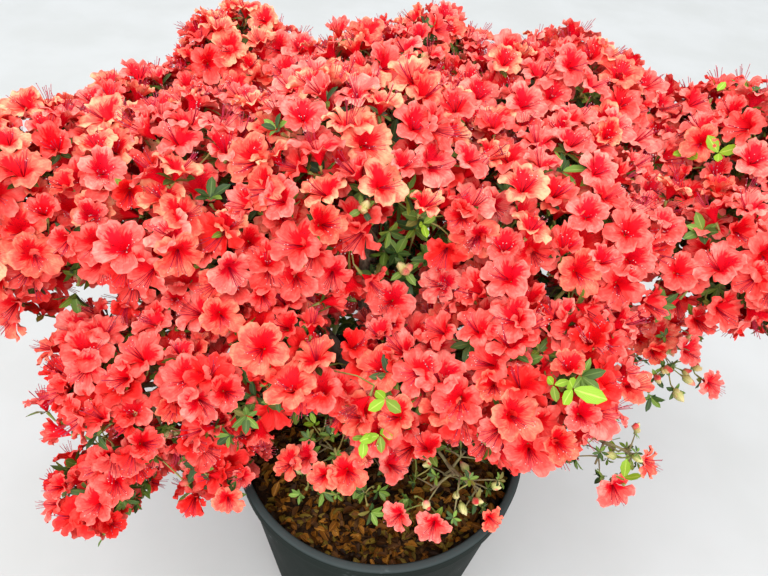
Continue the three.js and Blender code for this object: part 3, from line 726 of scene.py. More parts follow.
def joinSkins(mass, points, share):
    # with h = 1 where two skins meet and 0 where they are "join" apart, points move out by the sum of
    # h^2 join / 4, as in a smooth union, and what grows there turns towards the other mass's outside
    join = flowerLook["join"]
    near, outward = np.zeros(len(points)), outwardAt(mass, points)
    for other in masses:
        if other is not mass:
            h = np.clip(1 - np.abs(depthIn(other, points) - share) / join, 0, 1) ** 2
            near += h
            outward = outward + h[:, None] * outwardAt(other, points)
    out = 1 + np.minimum(near, flowerLook["joinMost"]) * join / 4
    return mass["centre"] + (points - mass["centre"]) * out[:, None], unit(outward)


def isBuried(mass, points, depth):
    # inside another mass, deeper than the given share of its reach
    buried = np.zeros(len(points), bool)
    for other in masses:
        if other is not mass:
            buried |= depthIn(other, points) < depth
    return buried


def clearOfPot(points, margin):
    # above the rim, outside it, or inside it over the mix
    look = potLook
    r, z = np.hypot(points[:, 0], points[:, 1]), points[:, 2]
    lining = look["rimRadius"] - 12  # 2 mm inside the wall
    above = z > look["height"] + margin
    outside = r > look["rimRadius"] + margin
    inside = (r < lining - margin) & (z > look["soilLevel"] + margin)
    return above | outside | inside


def inClearing(points, forLeaves):
    # nearer to the middle line of a clearing than its radius
    cleared = np.zeros(len(points), bool)
    for start, end, radius, noLeaves in clearings.values():
        if noLeaves or not forLeaves:
            line = np.subtract(end, start)
            along = np.clip((points - start) @ line / (line @ line), 0, 1)
            cleared |= np.linalg.norm(points - start - along[:, None] * line, axis=1) < radius
    return cleared


def nearest(points, targets):
    # for each point, which target is nearest
    return np.linalg.norm(points[:, None] - targets[None], axis=-1).argmin(axis=1)


def growMass(mass):
    # the source's own skeleton: a hub near the centre, forks half way out, and a neck under each truss
    seed, scale = mass["seed"], mass["scale"]
    forks = skinPoints(mass, growth["forksPerMass"], growth["forkReach"], seed)
    spacing = growth["trussSpacing"] * scale * (growth["bareSpacing"] if mass["bare"] else 1)
    ends = skinPoints(mass, latticeCount(mass["size"], spacing), 1, seed)
    draws = seed * 1000 + np.arange(len(ends))
    kept = ~isBuried(mass, ends, growth["buriedDepth"])
    ends, draws = ends[kept], draws[kept]
    facing = facingAt(outwardAt(mass, ends), draws, growth["facingStray"])
    leafy = (facing[:, 2] < growth["leafyFacing"]) | (mass["bare"] & (chance(draws, 5) < 0.6))
    necks = ends - facing * (2 + 14 * chance(draws, 4) + growth["trussDepth"] * scale)[:, None]
    kept = clearOfPot(necks, 8)
    return {
        "mass": mass, "hub": mass["centre"] + 0.1 * (mass["tip"] - mass["centre"]), "forks": forks,
        "necks": necks[kept], "facing": facing[kept], "leafy": leafy[kept], "draws": draws[kept],
        "fork": nearest(ends[kept], forks),
    }


def lumps(points, seed):
    # slow swellings of a mass, from crossed sine waves along X, Y and Z; about -1 to 1
    x, y, z = points.T
    level = 0.5 * np.sin(x / 19 + seed) + 0.4 * np.sin(y / 17 + 1.7 * seed)
    return level + 0.4 * np.sin(z / 14 + 2.3 * seed)


def kindOf(mass, facing, draws):
    # mostly flowers, some buds and rosettes; leaves on half of the shaded places
    look = flowerLook
    shade = (facing[:, 2] < look["shadeLimit"]) | (mass["bare"] & (chance(draws, 9) < look["bareShade"]))
    leafy = (chance(draws, 9) < look["rosettes"]) | (shade & (chance(draws, 10) < look["shadeLeaves"]))
    budding = chance(draws, 8) < look["bareBuds" if mass["bare"] else "buds"]
    return np.where(leafy, leaves, np.where(budding, buds, flower))


def growLayer(mass, layer, share, spacing):
    # one lattice of what grows near the skin: columns of base, facing, size, draw, kind and layer
    look = flowerLook
    spacing = spacing * (look["bareSpacing"] if mass["bare"] else 1)
    points = skinPoints(mass, latticeCount(mass["size"] * share, spacing), share, mass["seed"] * 1.7 + layer)
    swollen = (1 + look["lump"] * lumps(points, mass["seed"]))[:, None]
    points, outward = joinSkins(mass, mass["centre"] + (points - mass["centre"]) * swollen, share)
    draws = mass["seed"] * 3000 + 1000 * layer + np.arange(len(points))
    kept = ~isBuried(mass, points, look["buried"])
    points, outward, draws = points[kept], outward[kept], draws[kept]
    facing = facingAt(outward, draws, look["stray"])
    jitter = np.stack([chance(draws, k) - 0.5 for k in (11, 12, 13)], -1) * look["jitter"] * spacing
    high = points[:, 2] > look["lowBelow"]
    size = spread(draws, 6, *look["size"]) * (look["lowSize"] + look["highSize"] * high)
    base = points + jitter - facing * (look["depth"] * size + spread(draws, 4, *look["sunk"]))[:, None]
    middle = base + facing * look["middle"]
    kept = clearOfPot(base, look["footMargin"]) & clearOfPot(middle, look["middleMargin"])
    kept &= ~inClearing(middle, False) & (facing[:, 2] > look["downLimit"])
    for _, _, _, place in accentList:
        kept &= np.linalg.norm(middle - place, axis=1) > accentLook["room"]
    kind = kindOf(mass, facing, draws)
    kept &= ~(mass["bare"] & (kind == flower))
    return np.column_stack([base, facing, size, draws, kind, np.full(len(base), layer)])[kept]


def growFlowers(mass):
    # finer lattices by the same rule, one on the skin and thinner ones inside it; then the accents
    blocks = [growLayer(mass, layer, *values) for layer, values in enumerate(flowerLook["layers"])]
    for number, (name, kind, size, place) in enumerate(accentList):
        if name == mass["name"]:
            facing = unit(unit(place - mass["centre"]) + accentLook["facing"])
            stand = accentLook["flowerStand"] * size if kind == flower else accentLook["stand"]
            draw = accentLook["firstDraw"] + number
            blocks.append([[*(place - stand * facing), *facing, size, draw, kind, 0]])
    return np.concatenate(blocks)


def columns(rows, kind=None):
    # base, facing, size, draw, kind and layer of the rows, or of those of one kind
    if kind is not None:
        rows = rows[rows[:, 8] == kind]
    return rows[:, :3], rows[:, 3:6], *rows[:, 6:].T


print("growth starts")
skeletons = [growMass(mass) for mass in masses]
grownRows = [growFlowers(mass) for mass in masses]
allRows = np.concatenate(grownRows)


# Flowers

petalTints = [
    # throat, petal and light part of each colour variety
    (colour(234, 0, 28), colour(250, 80, 72), colour(255, 130, 116)),
    (colour(236, 0, 36), colour(251, 94, 85), colour(255, 152, 138)),
    (colour(226, 0, 18), colour(244, 42, 38), colour(250, 86, 76)),
    (colour(234, 0, 28), colour(250, 86, 73), colour(254, 150, 117)),
    (colour(236, 0, 32), colour(252, 106, 88), colour(255, 188, 143)),
    (colour(232, 0, 40), colour(251, 106, 98), colour(255, 168, 148)),
]
coral, rose, deep, warm, cream, pale = range(len(petalTints))
petalLook = {
    # rows of a petal from the throat to the rim: points across, share of the way, radius, height and
    # half angle, in millimetres and degrees
    "rows": [
        (2, 0.0, 0.6, 0.0, 36), (3, 0.4, 7.6, 14.5, 38), (7, 0.74, 17.5, 21.2, 43), (13, 1.0, 25.0, 22.0, 40),
    ],
    "tipRound": 0.38, "overlap": 1.8, "ruffle": 2.3, "scallop": 0.8, "waves": 2.6, "groove": 2.0,
    "bend": 12.0, "shapes": 10, "openShapes": 7, "halfOpen": 0.7, "closedLift": 14, "uneven": 0.18,
}
varietyLook = {
    # sun = (z - low) / rise + facing up + stray - depth of the layer; a flower takes the first colour
    # whose rule holds, where a pick from 0 to 1 shares them out
    "low": 420, "rise": 260, "facing": 0.45, "stray": 0.5, "layer": 0.6, "shade": 0.15, "shadeDeep": 0.6,
    "bright": 1.0, "cream": 0.32, "creamReach": 1100, "sunny": 0.75, "pale": 0.8, "coral": 0.37, "rose": 0.66,
    "warm": 0.8, "lastCoral": 0.9, "accentWarm": 0.5,
}
stamenLook = {
    "shapes": 4, "threads": 7, "fan": 0.36, "stray": 0.3, "foot": (0.8, 8.0), "reach": (5, 15),
    "tall": (28, 40), "bend": (-2.5, 0.0, 3.0), "thread": 0.36, "head": 0.72, "headSpan": (0.965, 1.035),
}


def zipRows(low, lowCount, high, highCount):
    # triangles between two rows of points: always the step whose next point is least far along its row
    faces, i, k = [], 0, 0
    while i < lowCount - 1 or k < highCount - 1:
        lowNext = (i + 1) / (lowCount - 1) if i < lowCount - 1 else 2
        highNext = (k + 1) / (highCount - 1) if k < highCount - 1 else 2
        if lowNext < highNext:
            faces.append((low + i, high + k, low + i + 1))
            i += 1
        else:
            faces.append((low + i, high + k, high + k + 1))
            k += 1
    return faces


def flowerShape(seed, openness):
    # five petals of one funnel, finer from throat to rim; each overlaps the next, with a round tip,
    # a groove along its middle, a ruffled rim and a length and bend of its own
    look = petalLook
    points, faces, corners = [], [], []
    for lobe in range(5):
        own = seed * 9 + lobe
        starts = []
        for count, way, radius, height, half in look["rows"]:
            starts.append(len(points))
            across = np.linspace(-1, 1, count)
            fringe = way ** 3
            phase = 6.3 * chance(own, 31) + np.pi * look["waves"] * across * (0.85 + 0.3 * chance(own, 32))
            length = 1 + look["uneven"] * fringe * (chance(own, 34) - 0.5)
            rounded = 1 - look["tipRound"] * way ** 2 * np.abs(across) ** 3
            frill = fringe * look["scallop"] * np.sin(1.7 * phase + 2)
            r = radius * (1 - (1 - openness) * way) * length * rounded + frill
            ruffle = look["ruffle"] * np.sin(phase) - look["groove"] * (1 - np.abs(across)) ** 2
            lift = way ** 2 * (look["overlap"] * across + ruffle)
            bend = fringe * look["bend"] * (chance(own, 33) - 0.62)
            z = height + look["closedLift"] * (1 - openness) * way ** 2 + (lift + bend)
            angle = 2 * np.pi * lobe / 5 + np.radians(half) * across
            points += list(np.stack([r * np.cos(angle), r * np.sin(angle), z], -1))
            corners += [((position + 1) / 10 + 0.2 * lobe, way) for position in across]
        counts = [row[0] for row in look["rows"]]
        for row in range(len(counts) - 1):
            faces += zipRows(starts[row], counts[row], starts[row + 1], counts[row + 1])
    faces = np.array(faces)[:, ::-1]
    return np.array(points), [faces], np.array(corners)[faces]


def petalMaterial():
    # x runs round the flower from the side of its upper petal, y from throat to rim
    count = len(petalTints)
    material, tree, shader = newMaterial("petal", 0.6, Specular_IOR_Level=0.2)
    source, around, along, share = tileCoordinates(tree, count)
    throat, petal, light = tileColours(tree, share, petalTints)
    turn = maths(tree, "MULTIPLY_ADD", around, 2 * math.pi, -math.radians(36))
    upper = maths(tree, "MULTIPLY_ADD", maths(tree, "COSINE", turn), 0.5, 0.5)
    middle = maths(tree, "COSINE", maths(tree, "MULTIPLY", turn, 5.0))
    middle = maths(tree, "MULTIPLY_ADD", middle, 0.5, 0.5)
    # light patches and a light rim
    patches = noise(tree, stretched(tree, source, 9.0, 2.6 * count, 1.0), 1.0, 3.0, 0.6)
    lit = maths(tree, "MULTIPLY_ADD", along, 0.34, patches)
    flesh = mixColours(tree, mapRange(tree, lit, 0.66, 0.98), petal, light)
    # fine lines that run along the petal
    streaks = noise(tree, stretched(tree, source, 64.0, 4.0 * count, 1.0), 1.0, 3.0, 0.65)
    creased = mixColours(tree, mapRange(tree, streaks, 0.42, 0.7, 0.0, 0.34), flesh, throat)
    vein = mapRange(tree, maths(tree, "SINE", maths(tree, "MULTIPLY", turn, 35.0)), 0.3, 1.0, 0.0, 0.32)
    veins = maths(tree, "MULTIPLY", vein, mapRange(tree, along, 0.98, 0.5))
    veined = mixColours(tree, veins, creased, throat)
    # the throat's red, farthest out along the middle of the upper petals
    reach = maths(tree, "MULTIPLY_ADD", maths(tree, "POWER", upper, 2.0), 0.34, 0.3)
    reach = maths(tree, "MULTIPLY_ADD", middle, 0.14, reach)
    reach = maths(tree, "MULTIPLY_ADD", maths(tree, "SUBTRACT", streaks, 0.5), 0.7, reach)
    fadeStart, fadeEnd = maths(tree, "SUBTRACT", reach, 0.07), maths(tree, "ADD", reach, 0.13)
    glowing = mixColours(tree, mapRange(tree, along, fadeStart, fadeEnd, 1.0, 0.0), veined, throat)
    # dark dots on the upper petals
    dots = noise(tree, stretched(tree, source, 110.0, 20.0 * count, 1.0), 1.0, 1.0)
    blotch = maths(tree, "MULTIPLY", mapRange(tree, upper, 0.6, 0.9), mapRange(tree, along, 0.7, 0.52))
    dotted = maths(tree, "MULTIPLY", mapRange(tree, dots, 0.56, 0.64, 0.0, 0.8), blotch)
    paint(tree, shader, mixColours(tree, dotted, glowing, colour(160, 0, 44)))
    return material


def petalVariety(base, facing, draws, layer):
    # painted light and shade: lighter kinds where the sun would reach, high up and facing up, cream ones
    # mostly on the left; deep and coral ones in the shade, which is deeper in the inner layers
    look = varietyLook
    sun = (base[:, 2] - look["low"]) / look["rise"] + look["facing"] * facing[:, 2]
    sun = sun + look["stray"] * (chance(draws, 52) - 0.5) - look["layer"] * layer
    pick = chance(draws, 53)
    creamShare = look["cream"] - base[:, 0] / look["creamReach"]
    rules = [
        (sun < look["shade"], np.where(pick < look["shadeDeep"], deep, coral)),
        ((sun > look["bright"]) & (pick < creamShare), cream),
        ((sun > look["sunny"]) & (pick > look["pale"]), pale),
        (pick < look["coral"], coral),
        (pick < look["rose"], rose),
        (pick < look["warm"], warm),
    ]
    tiles = np.select(*zip(*rules), np.where(pick > look["lastCoral"], coral, deep))
    accent = draws >= accentLook["firstDraw"]
    return np.where(accent, np.where(pick < look["accentWarm"], warm, rose), tiles)


def makePetals():
    # three pieces from left to right, stamped with open and half-open flowers
    base, facing, size, draws, _, layer = columns(allRows, flower)
    look = petalLook
    openness = [1.0] * look["openShapes"] + [look["halfOpen"]] * (look["shapes"] - look["openShapes"])
    shapes = [flowerShape(number + 1, opened) for number, opened in enumerate(openness)]
    variety = pickOf(draws, 51, len(shapes))
    tiles = petalVariety(base, facing, draws, layer)
    axes = frames(facing, draws)
    material = petalMaterial()
    for label, chosen in zip("abc", np.array_split(np.argsort(base[:, 0], kind="stable"), 3)):
        stamped = stampVarieties(shapes, variety, chosen, base, axes, size, tiles, len(petalTints))
        finishPiece(makeMesh("flowers_" + label, material, *stamped), "blossom", *massNodes)
    print("flowers:", len(base))


def spindles(lines, radius, sides):
    # many short spindles: from each line's start and end to a ring of points round its middle
    start, end = lines[:, 0], lines[:, 1]
    along = unit(end - start)
    side = unit(np.cross(along, up + 0.1))
    other = np.cross(along, side)
    angle = 2 * np.pi * np.arange(sides) / sides
    ring = np.cos(angle)[:, None] * side[:, None] + np.sin(angle)[:, None] * other[:, None]
    ring = (start + end)[:, None] / 2 + radius * ring
    points = np.concatenate([ring, start[:, None], end[:, None]], axis=1)
    k = np.arange(sides)
    following = (k + 1) % sides
    low = np.stack([following, k, np.full(sides, sides)], -1)
    high = np.stack([k, following, np.full(sides, sides + 1)], -1)
    offset = (np.arange(len(lines)) * (sides + 2))[:, None, None]
    return points.reshape(-1, 3), [(np.concatenate([low, high])[None] + offset).reshape(-1, 3)]


def stamenShape(seed):
    # curved thin tubes from the throat, each with a small pale head at its tip
    look = stamenLook
    k = np.arange(look["threads"])
    draws = seed * 10 + k
    angle = np.pi + (k - (len(k) - 1) / 2) * look["fan"] + look["stray"] * (chance(draws, 41) - 0.5)
    fan = np.stack([np.cos(angle), np.sin(angle)], -1)
    footRadius, footHeight = look["foot"]
    start = np.column_stack([footRadius * fan, np.full(len(k), footHeight)])
    tall = spread(draws, 43, *look["tall"])
    end = np.column_stack([spread(draws, 42, *look["reach"])[:, None] * fan, tall])
    bend = (start + end) / 2 + look["bend"]
    curve = start[:, None], bend[:, None], end[:, None]
    path = bezier(*curve, np.array([0.0, 0.55, 1.0])[None])
    threads = tubes(path, np.full(path.shape[:2], look["thread"]), 3)
    heads = spindles(bezier(*curve, np.array(look["headSpan"])[None]), look["head"], 3)
    return (*threads, None), (*heads, None)


def makeStamens():
    # threads and heads for the flowers of the outer layer
    base, facing, size, draws, _, layer = columns(allRows, flower)
    outer = np.flatnonzero(layer == 0)
    variety = pickOf(draws, 54, stamenLook["shapes"])
    threads, heads = zip(*(stamenShape(number + 1) for number in range(stamenLook["shapes"])))
    filament = plainMaterial("filament", colour(158, 0, 46), colour(200, 24, 70), 0.5)
    anther = plainMaterial("anther", colour(248, 206, 200), colour(132, 40, 66), 0.55)
    axes = frames(facing, draws)
    for name, shapes, material in (("stamen_threads", threads, filament), ("stamen_heads", heads, anther)):
        stamped = stampVarieties(shapes, variety, outer, base, axes, size)
        finishPiece(makeMesh(name, material, *stamped), "blossom", *massNodes)


# Buds

budTints = [
    # foot, body and tip of each variety: green and cream, rosy cream, and red just before opening
    (colour(142, 158, 70), colour(206, 206, 126), colour(228, 212, 150)),
    (colour(142, 158, 70), colour(226, 200, 140), colour(244, 128, 116)),
    (colour(150, 150, 70), colour(236, 110, 96), colour(226, 44, 58)),
]
budLook = {
    "shares": [0.6, 0.86], "each": 3, "size": (0.75, 1.25), "stray": 0.9, "length": 15,
    "way": [0.0, 0.12, 0.35, 0.65, 0.88, 1.0], "radius": [0.9, 3.0, 4.4, 3.6, 1.7, 0.25],
    "around": 8, "twist": 1.1, "fold": 0.09, "turn": 3.0,
}


def budShape():
    # a closed spindle with four folds: r = radius (1 + fold cos 4a), turned by "twist" along its length
    look = budLook
    way = np.array(look["way"])
    angle = 2 * np.pi * np.arange(look["around"]) / look["around"]
    turned = angle[None] + look["twist"] * way[:, None]
    r = np.array(look["radius"])[:, None] * (1 + look["fold"] * np.cos(4 * angle)[None])
    z = np.broadcast_to(way[:, None] * look["length"], r.shape)
    points = np.stack([r * np.cos(turned), r * np.sin(turned), z], -1).reshape(-1, 3)
    uv = gridUv(way, np.linspace(0, 1, look["around"] + 1))
    return points, [gridFaces(len(way), look["around"], True)], uv


def budMaterial():
    # green at the foot, then the body's and the tip's colours, with scales round it
    material, tree, shader = newMaterial("bud", 0.55)
    _, around, along, share = tileCoordinates(tree, len(budTints))
    low, middle, tip = tileColours(tree, share, budTints)
    body = mixColours(tree, mapRange(tree, along, 0.05, 0.5), low, middle)
    body = mixColours(tree, mapRange(tree, along, 0.55, 0.95), body, tip)
    scales = maths(tree, "SINE", maths(tree, "MULTIPLY", around, 2 * math.pi * 8))
    paint(tree, shader, mixColours(tree, mapRange(tree, scales, 0.2, 1.0, 0.0, 0.25), body, low))
    return material


def makeBuds():
    # three at each place, straying apart
    look = budLook
    base, facing, size, draws, _, _ = columns(np.repeat(allRows, look["each"], axis=0), buds)
    draws = draws + np.resize([0.1, 0.2, 0.3], len(draws))
    stray = np.stack([chance(draws, k) - 0.5 for k in (71, 72, 73)], -1)
    axes = frames(unit(facing + look["stray"] * stray), draws, look["turn"])
    sizes = size * spread(draws, 74, *look["size"])
    tiles = np.searchsorted(look["shares"], chance(draws, 75))
    stamped = stamp(budShape(), base * mm, axes, sizes * mm, tiles, len(budTints))
    finishPiece(makeMesh("buds", budMaterial(), *stamped), "blossom", *massNodes)
    print("buds:", len(base))


# Leaves

leafTints = [
    # blade and midrib of each variety: dark, deep, mid and fresh green, olive, then young and lime shoots
    (colour(52, 74, 36), colour(84, 106, 56)),
    (colour(70, 96, 42), colour(106, 128, 66)),
    (colour(94, 122, 50), colour(132, 154, 78)),
    (colour(112, 142, 54), colour(152, 174, 86)),
    (colour(120, 112, 54), colour(148, 136, 72)),
    (colour(122, 146, 48), colour(162, 178, 82)),
    (colour(142, 182, 44), colour(186, 212, 88)),
]
youngLeaf, limeLeaf = 5, 6
leafLook = {
    "way": [0.0, 0.16, 0.46, 0.78, 1.0], "half": [0.03, 0.16, 0.28, 0.22, 0.02], "ripple": 0.02,
    # fold, curl and width of each shape, the last one for lime shoots
    "shapes": [(0.35, 0.12, 0.82), (0.2, 0.22, 0.74), (0.5, 0.02, 0.8), (0.1, -0.1, 1.0)],
    "greens": 4.3, "young": 0.975, "lime": 0.8, "length": (0.7, 1.15), "bareLength": 0.8,
    "limeRosettes": 0.1, "besideFlower": 0.42, "inner": 38, "innerShares": (0.6, 0.4), "innerMargin": 12,
    "margin": 4,
}
whorls = {
    # how far out along its facing, how many leaves, their length, and their tilt from the facing
    "neck": (0, 6, 21, 1.15),
    "overNeck": (9, 5, 19, 0.7),
    "underNeck": (-12, 5, 21, 1.3),
    "limeShoot": (12, 3, 23, 1.0),
    "rosette": (10, 6, 21, 0.95),
    "besideFlower": (1.5, 4, 18, 1.25),
    "inner": (0, 6, 21, 1.1),
}


def leafShape(fold, curl, width=1.0):
    # an elliptic blade, one unit long: half width from a short list, height = fold |y| - curl s^2 + ripple
    way, side = np.array(leafLook["way"]), np.array([-1.0, 0.0, 1.0])
    half = width * np.array(leafLook["half"])
    s, w = np.meshgrid(way, side, indexing="ij")
    y = half[:, None] * w
    z = fold * np.abs(y) - curl * s ** 2 + leafLook["ripple"] * np.sin(7 * s + 2 * w)
    points = np.stack([s, y, z], -1).reshape(-1, 3)
    return points, [gridFaces(len(way), 3)[:, ::-1]], gridUv(way, np.array([0.0, 0.5, 1.0]))[:, ::-1]


def leafMaterial():
    # a midrib with slanting side veins on the blade's colour
    material, tree, shader = newMaterial("leaf", 0.48, Specular_IOR_Level=0.32)
    _, across, along, share = tileCoordinates(tree, len(leafTints))
    blade, rib = tileColours(tree, share, leafTints)
    aside = maths(tree, "ABSOLUTE", maths(tree, "SUBTRACT", across, 0.5))
    midrib = mapRange(tree, aside, 0.02, 0.09, 1.0, 0.0)
    slant = maths(tree, "MULTIPLY_ADD", aside, -1.2, along)
    vein = mapRange(tree, maths(tree, "SINE", maths(tree, "MULTIPLY", slant, 52.0)), 0.5, 1.0, 0.0, 0.35)
    lines = maths(tree, "MULTIPLY", vein, mapRange(tree, aside, 0.5, 0.3))
    paint(tree, shader, mixColours(tree, maths(tree, "MAXIMUM", midrib, lines), blade, rib))
    return material


def leafWhorl(kind, place, facing, draw, size=1, small=1):
    # leaves round a twig's end: turned by equal steps about facing and tilted away from it
    out, count, length, tilt = whorls[kind]
    k = np.arange(count)
    draws = draw * 17 + k
    side = unit(np.cross(facing, up + 0.3))
    other = np.cross(facing, side)
    turn = 2 * np.pi * (k + 0.5 * chance(draws, 61)) / count + draw
    lean = tilt + 0.5 * (chance(draws, 62) - 0.5)
    flat = np.cos(turn)[:, None] * side + np.sin(turn)[:, None] * other
    along = unit(flat * np.sin(lean)[:, None] + facing * np.cos(lean)[:, None])
    over = unit(facing - (along @ facing)[:, None] * along)
    axes = np.stack([along, np.cross(over, along), over], -1)
    places = place + out * facing + flat * 0.8 + facing * (-2 * k / count)[:, None]
    sizes = length * size * small * spread(draws, 63, *leafLook["length"])
    return places, axes, sizes, draws, np.full(count, kind == "limeShoot")


def massWhorls(skeleton, rows):
    # one mass's whorls: at its necks, in its rosettes, beside its flowers and buds, and inside it
    look, mass = leafLook, skeleton["mass"]
    scale, small = mass["scale"], look["bareLength"] if mass["bare"] else 1
    made = []
    for neck, facing, draw, leafy in zip(*(skeleton[key] for key in ("necks", "facing", "draws", "leafy"))):
        made.append(leafWhorl("neck", neck, facing, draw, scale))
        if leafy and not mass["bare"]:
            made.append(leafWhorl("overNeck", neck, facing, draw + 0.5, scale))
            made.append(leafWhorl("underNeck", neck, facing, draw + 0.7, scale))
    for base, facing, size, draw, kind, _ in zip(*columns(rows)):
        if kind == limeShoot or (kind == leaves and chance(draw, 64) < look["limeRosettes"]):
            made.append(leafWhorl("limeShoot", base, facing, draw, size))
        elif kind == leaves:
            made.append(leafWhorl("rosette", base, facing, draw, size, small))
        elif chance(draw, 65) < look["besideFlower"]:
            made.append(leafWhorl("besideFlower", base, facing, draw, small))
    for share in () if mass["bare"] else look["innerShares"]:
        inner = skinPoints(mass, int(look["inner"] * scale * share), share, mass["seed"] * 2.3 + share)
        for number, point in enumerate(inner[clearOfPot(inner, look["innerMargin"])]):
            facing = unit(point - skeleton["hub"] + 0.01)
            made.append(leafWhorl("inner", point, facing, mass["seed"] * 700 + number + share))
    return made


def makeLeaves():
    # every mass's leaves, without those in the pot's wall or in a clearing, as a left and a right piece
    look = leafLook
    grown = [whorl for skeleton, rows in zip(skeletons, grownRows) for whorl in massWhorls(skeleton, rows)]
    places, axes, sizes, draws, lime = (np.concatenate(values) for values in zip(*grown))
    tips = places + axes[:, :, 0] * sizes[:, None]
    kept = clearOfPot(tips, look["margin"]) & clearOfPot(places, look["margin"]) & ~inClearing(tips, True)
    places, axes, sizes, draws, lime = (values[kept] for values in (places, axes, sizes, draws, lime))
    pick = chance(draws, 66)
    tiles = np.floor(pick * look["greens"]).astype(int) + (pick > look["young"])
    shoots = np.where(chance(draws, 67) < look["lime"], limeLeaf, youngLeaf)
    shapes = [leafShape(*values) for values in look["shapes"]]
    plain = len(shapes) - 1
    variety = np.where(lime, plain, pickOf(draws, 68, plain))
    material = leafMaterial()
    for label, chosen in zip("ab", np.array_split(np.argsort(places[:, 0], kind="stable"), 2)):
        kinds = np.where(lime, shoots, tiles)
        stamped = stampVarieties(shapes, variety, chosen, places, axes, sizes, kinds, len(leafTints))
        finishPiece(makeMesh("leaves_" + label, material, *stamped), "foliage", *massNodes)
    print("leaves:", len(places))


# Twigs

twigLook = {
    # radii in millimetres: a stem's at the hub, the others' from start to end; on the bare masses they
    # are "bare" times as thick
    "stem": 3.6, "fork": (3.4, 2.4), "twig": (2.3, 1.4), "stalk": [1.1, 0.95, 0.95, 2.1], "bare": 0.5,
    # points along a stem and along the others, and corners round each of the four
    "stemSteps": 6, "steps": 7, "sides": {"stem": 8, "fork": 6, "twig": 5, "stalk": 4},
    "stemSunk": 0.06, "stemLift": 4.0, "forkLift": 0.06, "twigLift": 0.1, "stalkBend": 0.45,
    # where forks leave the stem, as a share of it, and twigs their fork, as a step of its curve
    "forkFrom": 0.35, "forkRange": 0.6, "twigFrom": 3, "twigRange": 4,
}


def sagPath(start, end, lift, steps):
    # a curve from start to end whose middle is lifted
    bend = (start + end) / 2 + up * lift[:, None]
    return bezier(start[:, None], bend[:, None], end[:, None], np.linspace(0, 1, steps)[None])


def evenTubes(paths, radii, sides):
    # tubes whose radii along the path are all the same
    return tubes(paths, np.tile(radii, (len(paths), 1)), sides)


def massTwigs(skeleton):
    # a stem from the bough to the hub, forks that leave it, and a twig from its fork to every neck
    look, mass = twigLook, skeleton["mass"]
    slim, steps = look["bare"] if mass["bare"] else 1, look["steps"]
    tip, hub, forks, necks = mass["tip"], skeleton["hub"], skeleton["forks"], skeleton["necks"]
    lift = np.array([look["stemLift"]])
    sunk = tip + look["stemSunk"] * (tip - hub)
    stem = sagPath(sunk[None], hub[None], lift, look["stemSteps"])
    stemRadii = np.linspace(mass["tipRadius"], look["stem"] * slim, look["stemSteps"])
    share = look["forkFrom"] + look["forkRange"] * chance(mass["seed"] * 10 + np.arange(len(forks)), 81)
    start = tip + (hub - tip) * share[:, None]
    branches = sagPath(start, forks, look["forkLift"] * np.linalg.norm(forks - start, axis=1), steps)
    own = branches[skeleton["fork"]]
    start = own[np.arange(len(own)), look["twigFrom"] + pickOf(skeleton["draws"], 82, look["twigRange"])]
    twigs = sagPath(start, necks, look["twigLift"] * np.linalg.norm(necks - start, axis=1), steps)
    return [
        evenTubes(stem, stemRadii, look["sides"]["stem"]),
        evenTubes(branches, slim * np.linspace(*look["fork"], steps), look["sides"]["fork"]),
        evenTubes(twigs, slim * np.linspace(*look["twig"], steps), look["sides"]["twig"]),
    ]


def massStalks(skeleton, rows):
    # from the nearest neck or fork to everything that grows, arriving along its facing
    targets = np.concatenate([skeleton["necks"], skeleton["forks"]])
    base, facing = columns(rows)[:2]
    start = targets[nearest(base, targets)]
    bend = base - facing * (twigLook["stalkBend"] * np.linalg.norm(base - start, axis=1))[:, None]
    radii = twigLook["stalk"]
    stalks = bezier(start[:, None], bend[:, None], base[:, None], np.linspace(0, 1, len(radii))[None])
    return evenTubes(stalks, radii, twigLook["sides"]["stalk"])


def makeTwigs():
    # all the woody twigs are one piece, all the green stalks another
    points, faces, _ = joinParts([part for skeleton in skeletons for part in massTwigs(skeleton)])
    bark = plainMaterial("twigBark", colour(116, 96, 70), colour(146, 138, 92), 0.8)
    finishPiece(makeMesh("twigs", bark, points * mm, faces), "bark", *massNodes)
    points, faces, _ = joinParts([massStalks(*grown) for grown in zip(skeletons, grownRows)])
    green = plainMaterial("stalkGreen", colour(132, 148, 66), colour(168, 150, 84), 0.6)
    finishPiece(makeMesh("stalks", green, points * mm, faces), "foliage", *massNodes)


# Litter on the mix

litterLook = {
    "leaves": 2800, "chips": 700, "reach": 158, "length": (8, 18), "chip": (4, 12), "lift": (0.4, 7.5),
    "lean": 1.3, "turn": 3.14, "above": 0.3, "chipShapes": 5,
    # fold and curl of each shape of fallen leaf
    "shapes": [(0.9, 0.3), (-0.8, -0.15), (0.3, 0.5), (1.3, -0.3)],
}
litterTints = [
    # blade and midrib of each variety of fallen leaf
    (colour(76, 45, 16), colour(102, 63, 25)),
    (colour(112, 68, 22), colour(142, 91, 35)),
    (colour(146, 94, 32), colour(176, 122, 52)),
    (colour(54, 32, 14), colour(76, 48, 22)),
    (colour(36, 23, 10), colour(54, 35, 16)),
    (colour(108, 86, 32), colour(134, 111, 48)),
]


def litterMaterial():
    # dry browns with dark spots and a paler midrib
    count = len(litterTints)
    material, tree, shader = newMaterial("deadLeaf", 0.6, Specular_IOR_Level=0.15)
    source, across, _, share = tileCoordinates(tree, count)
    blade, rib = tileColours(tree, share, litterTints)
    aside = maths(tree, "ABSOLUTE", maths(tree, "SUBTRACT", across, 0.5))
    spots = noise(tree, stretched(tree, source, 9.0, 7.0 * count, 1.0), 1.0, 3.0)
    worn = mixColours(tree, mapRange(tree, spots, 0.5, 0.7, 0.0, 0.55), blade, colour(44, 28, 16))
    paint(tree, shader, mixColours(tree, mapRange(tree, aside, 0.02, 0.1, 1.0, 0.0), worn, rib))
    return material


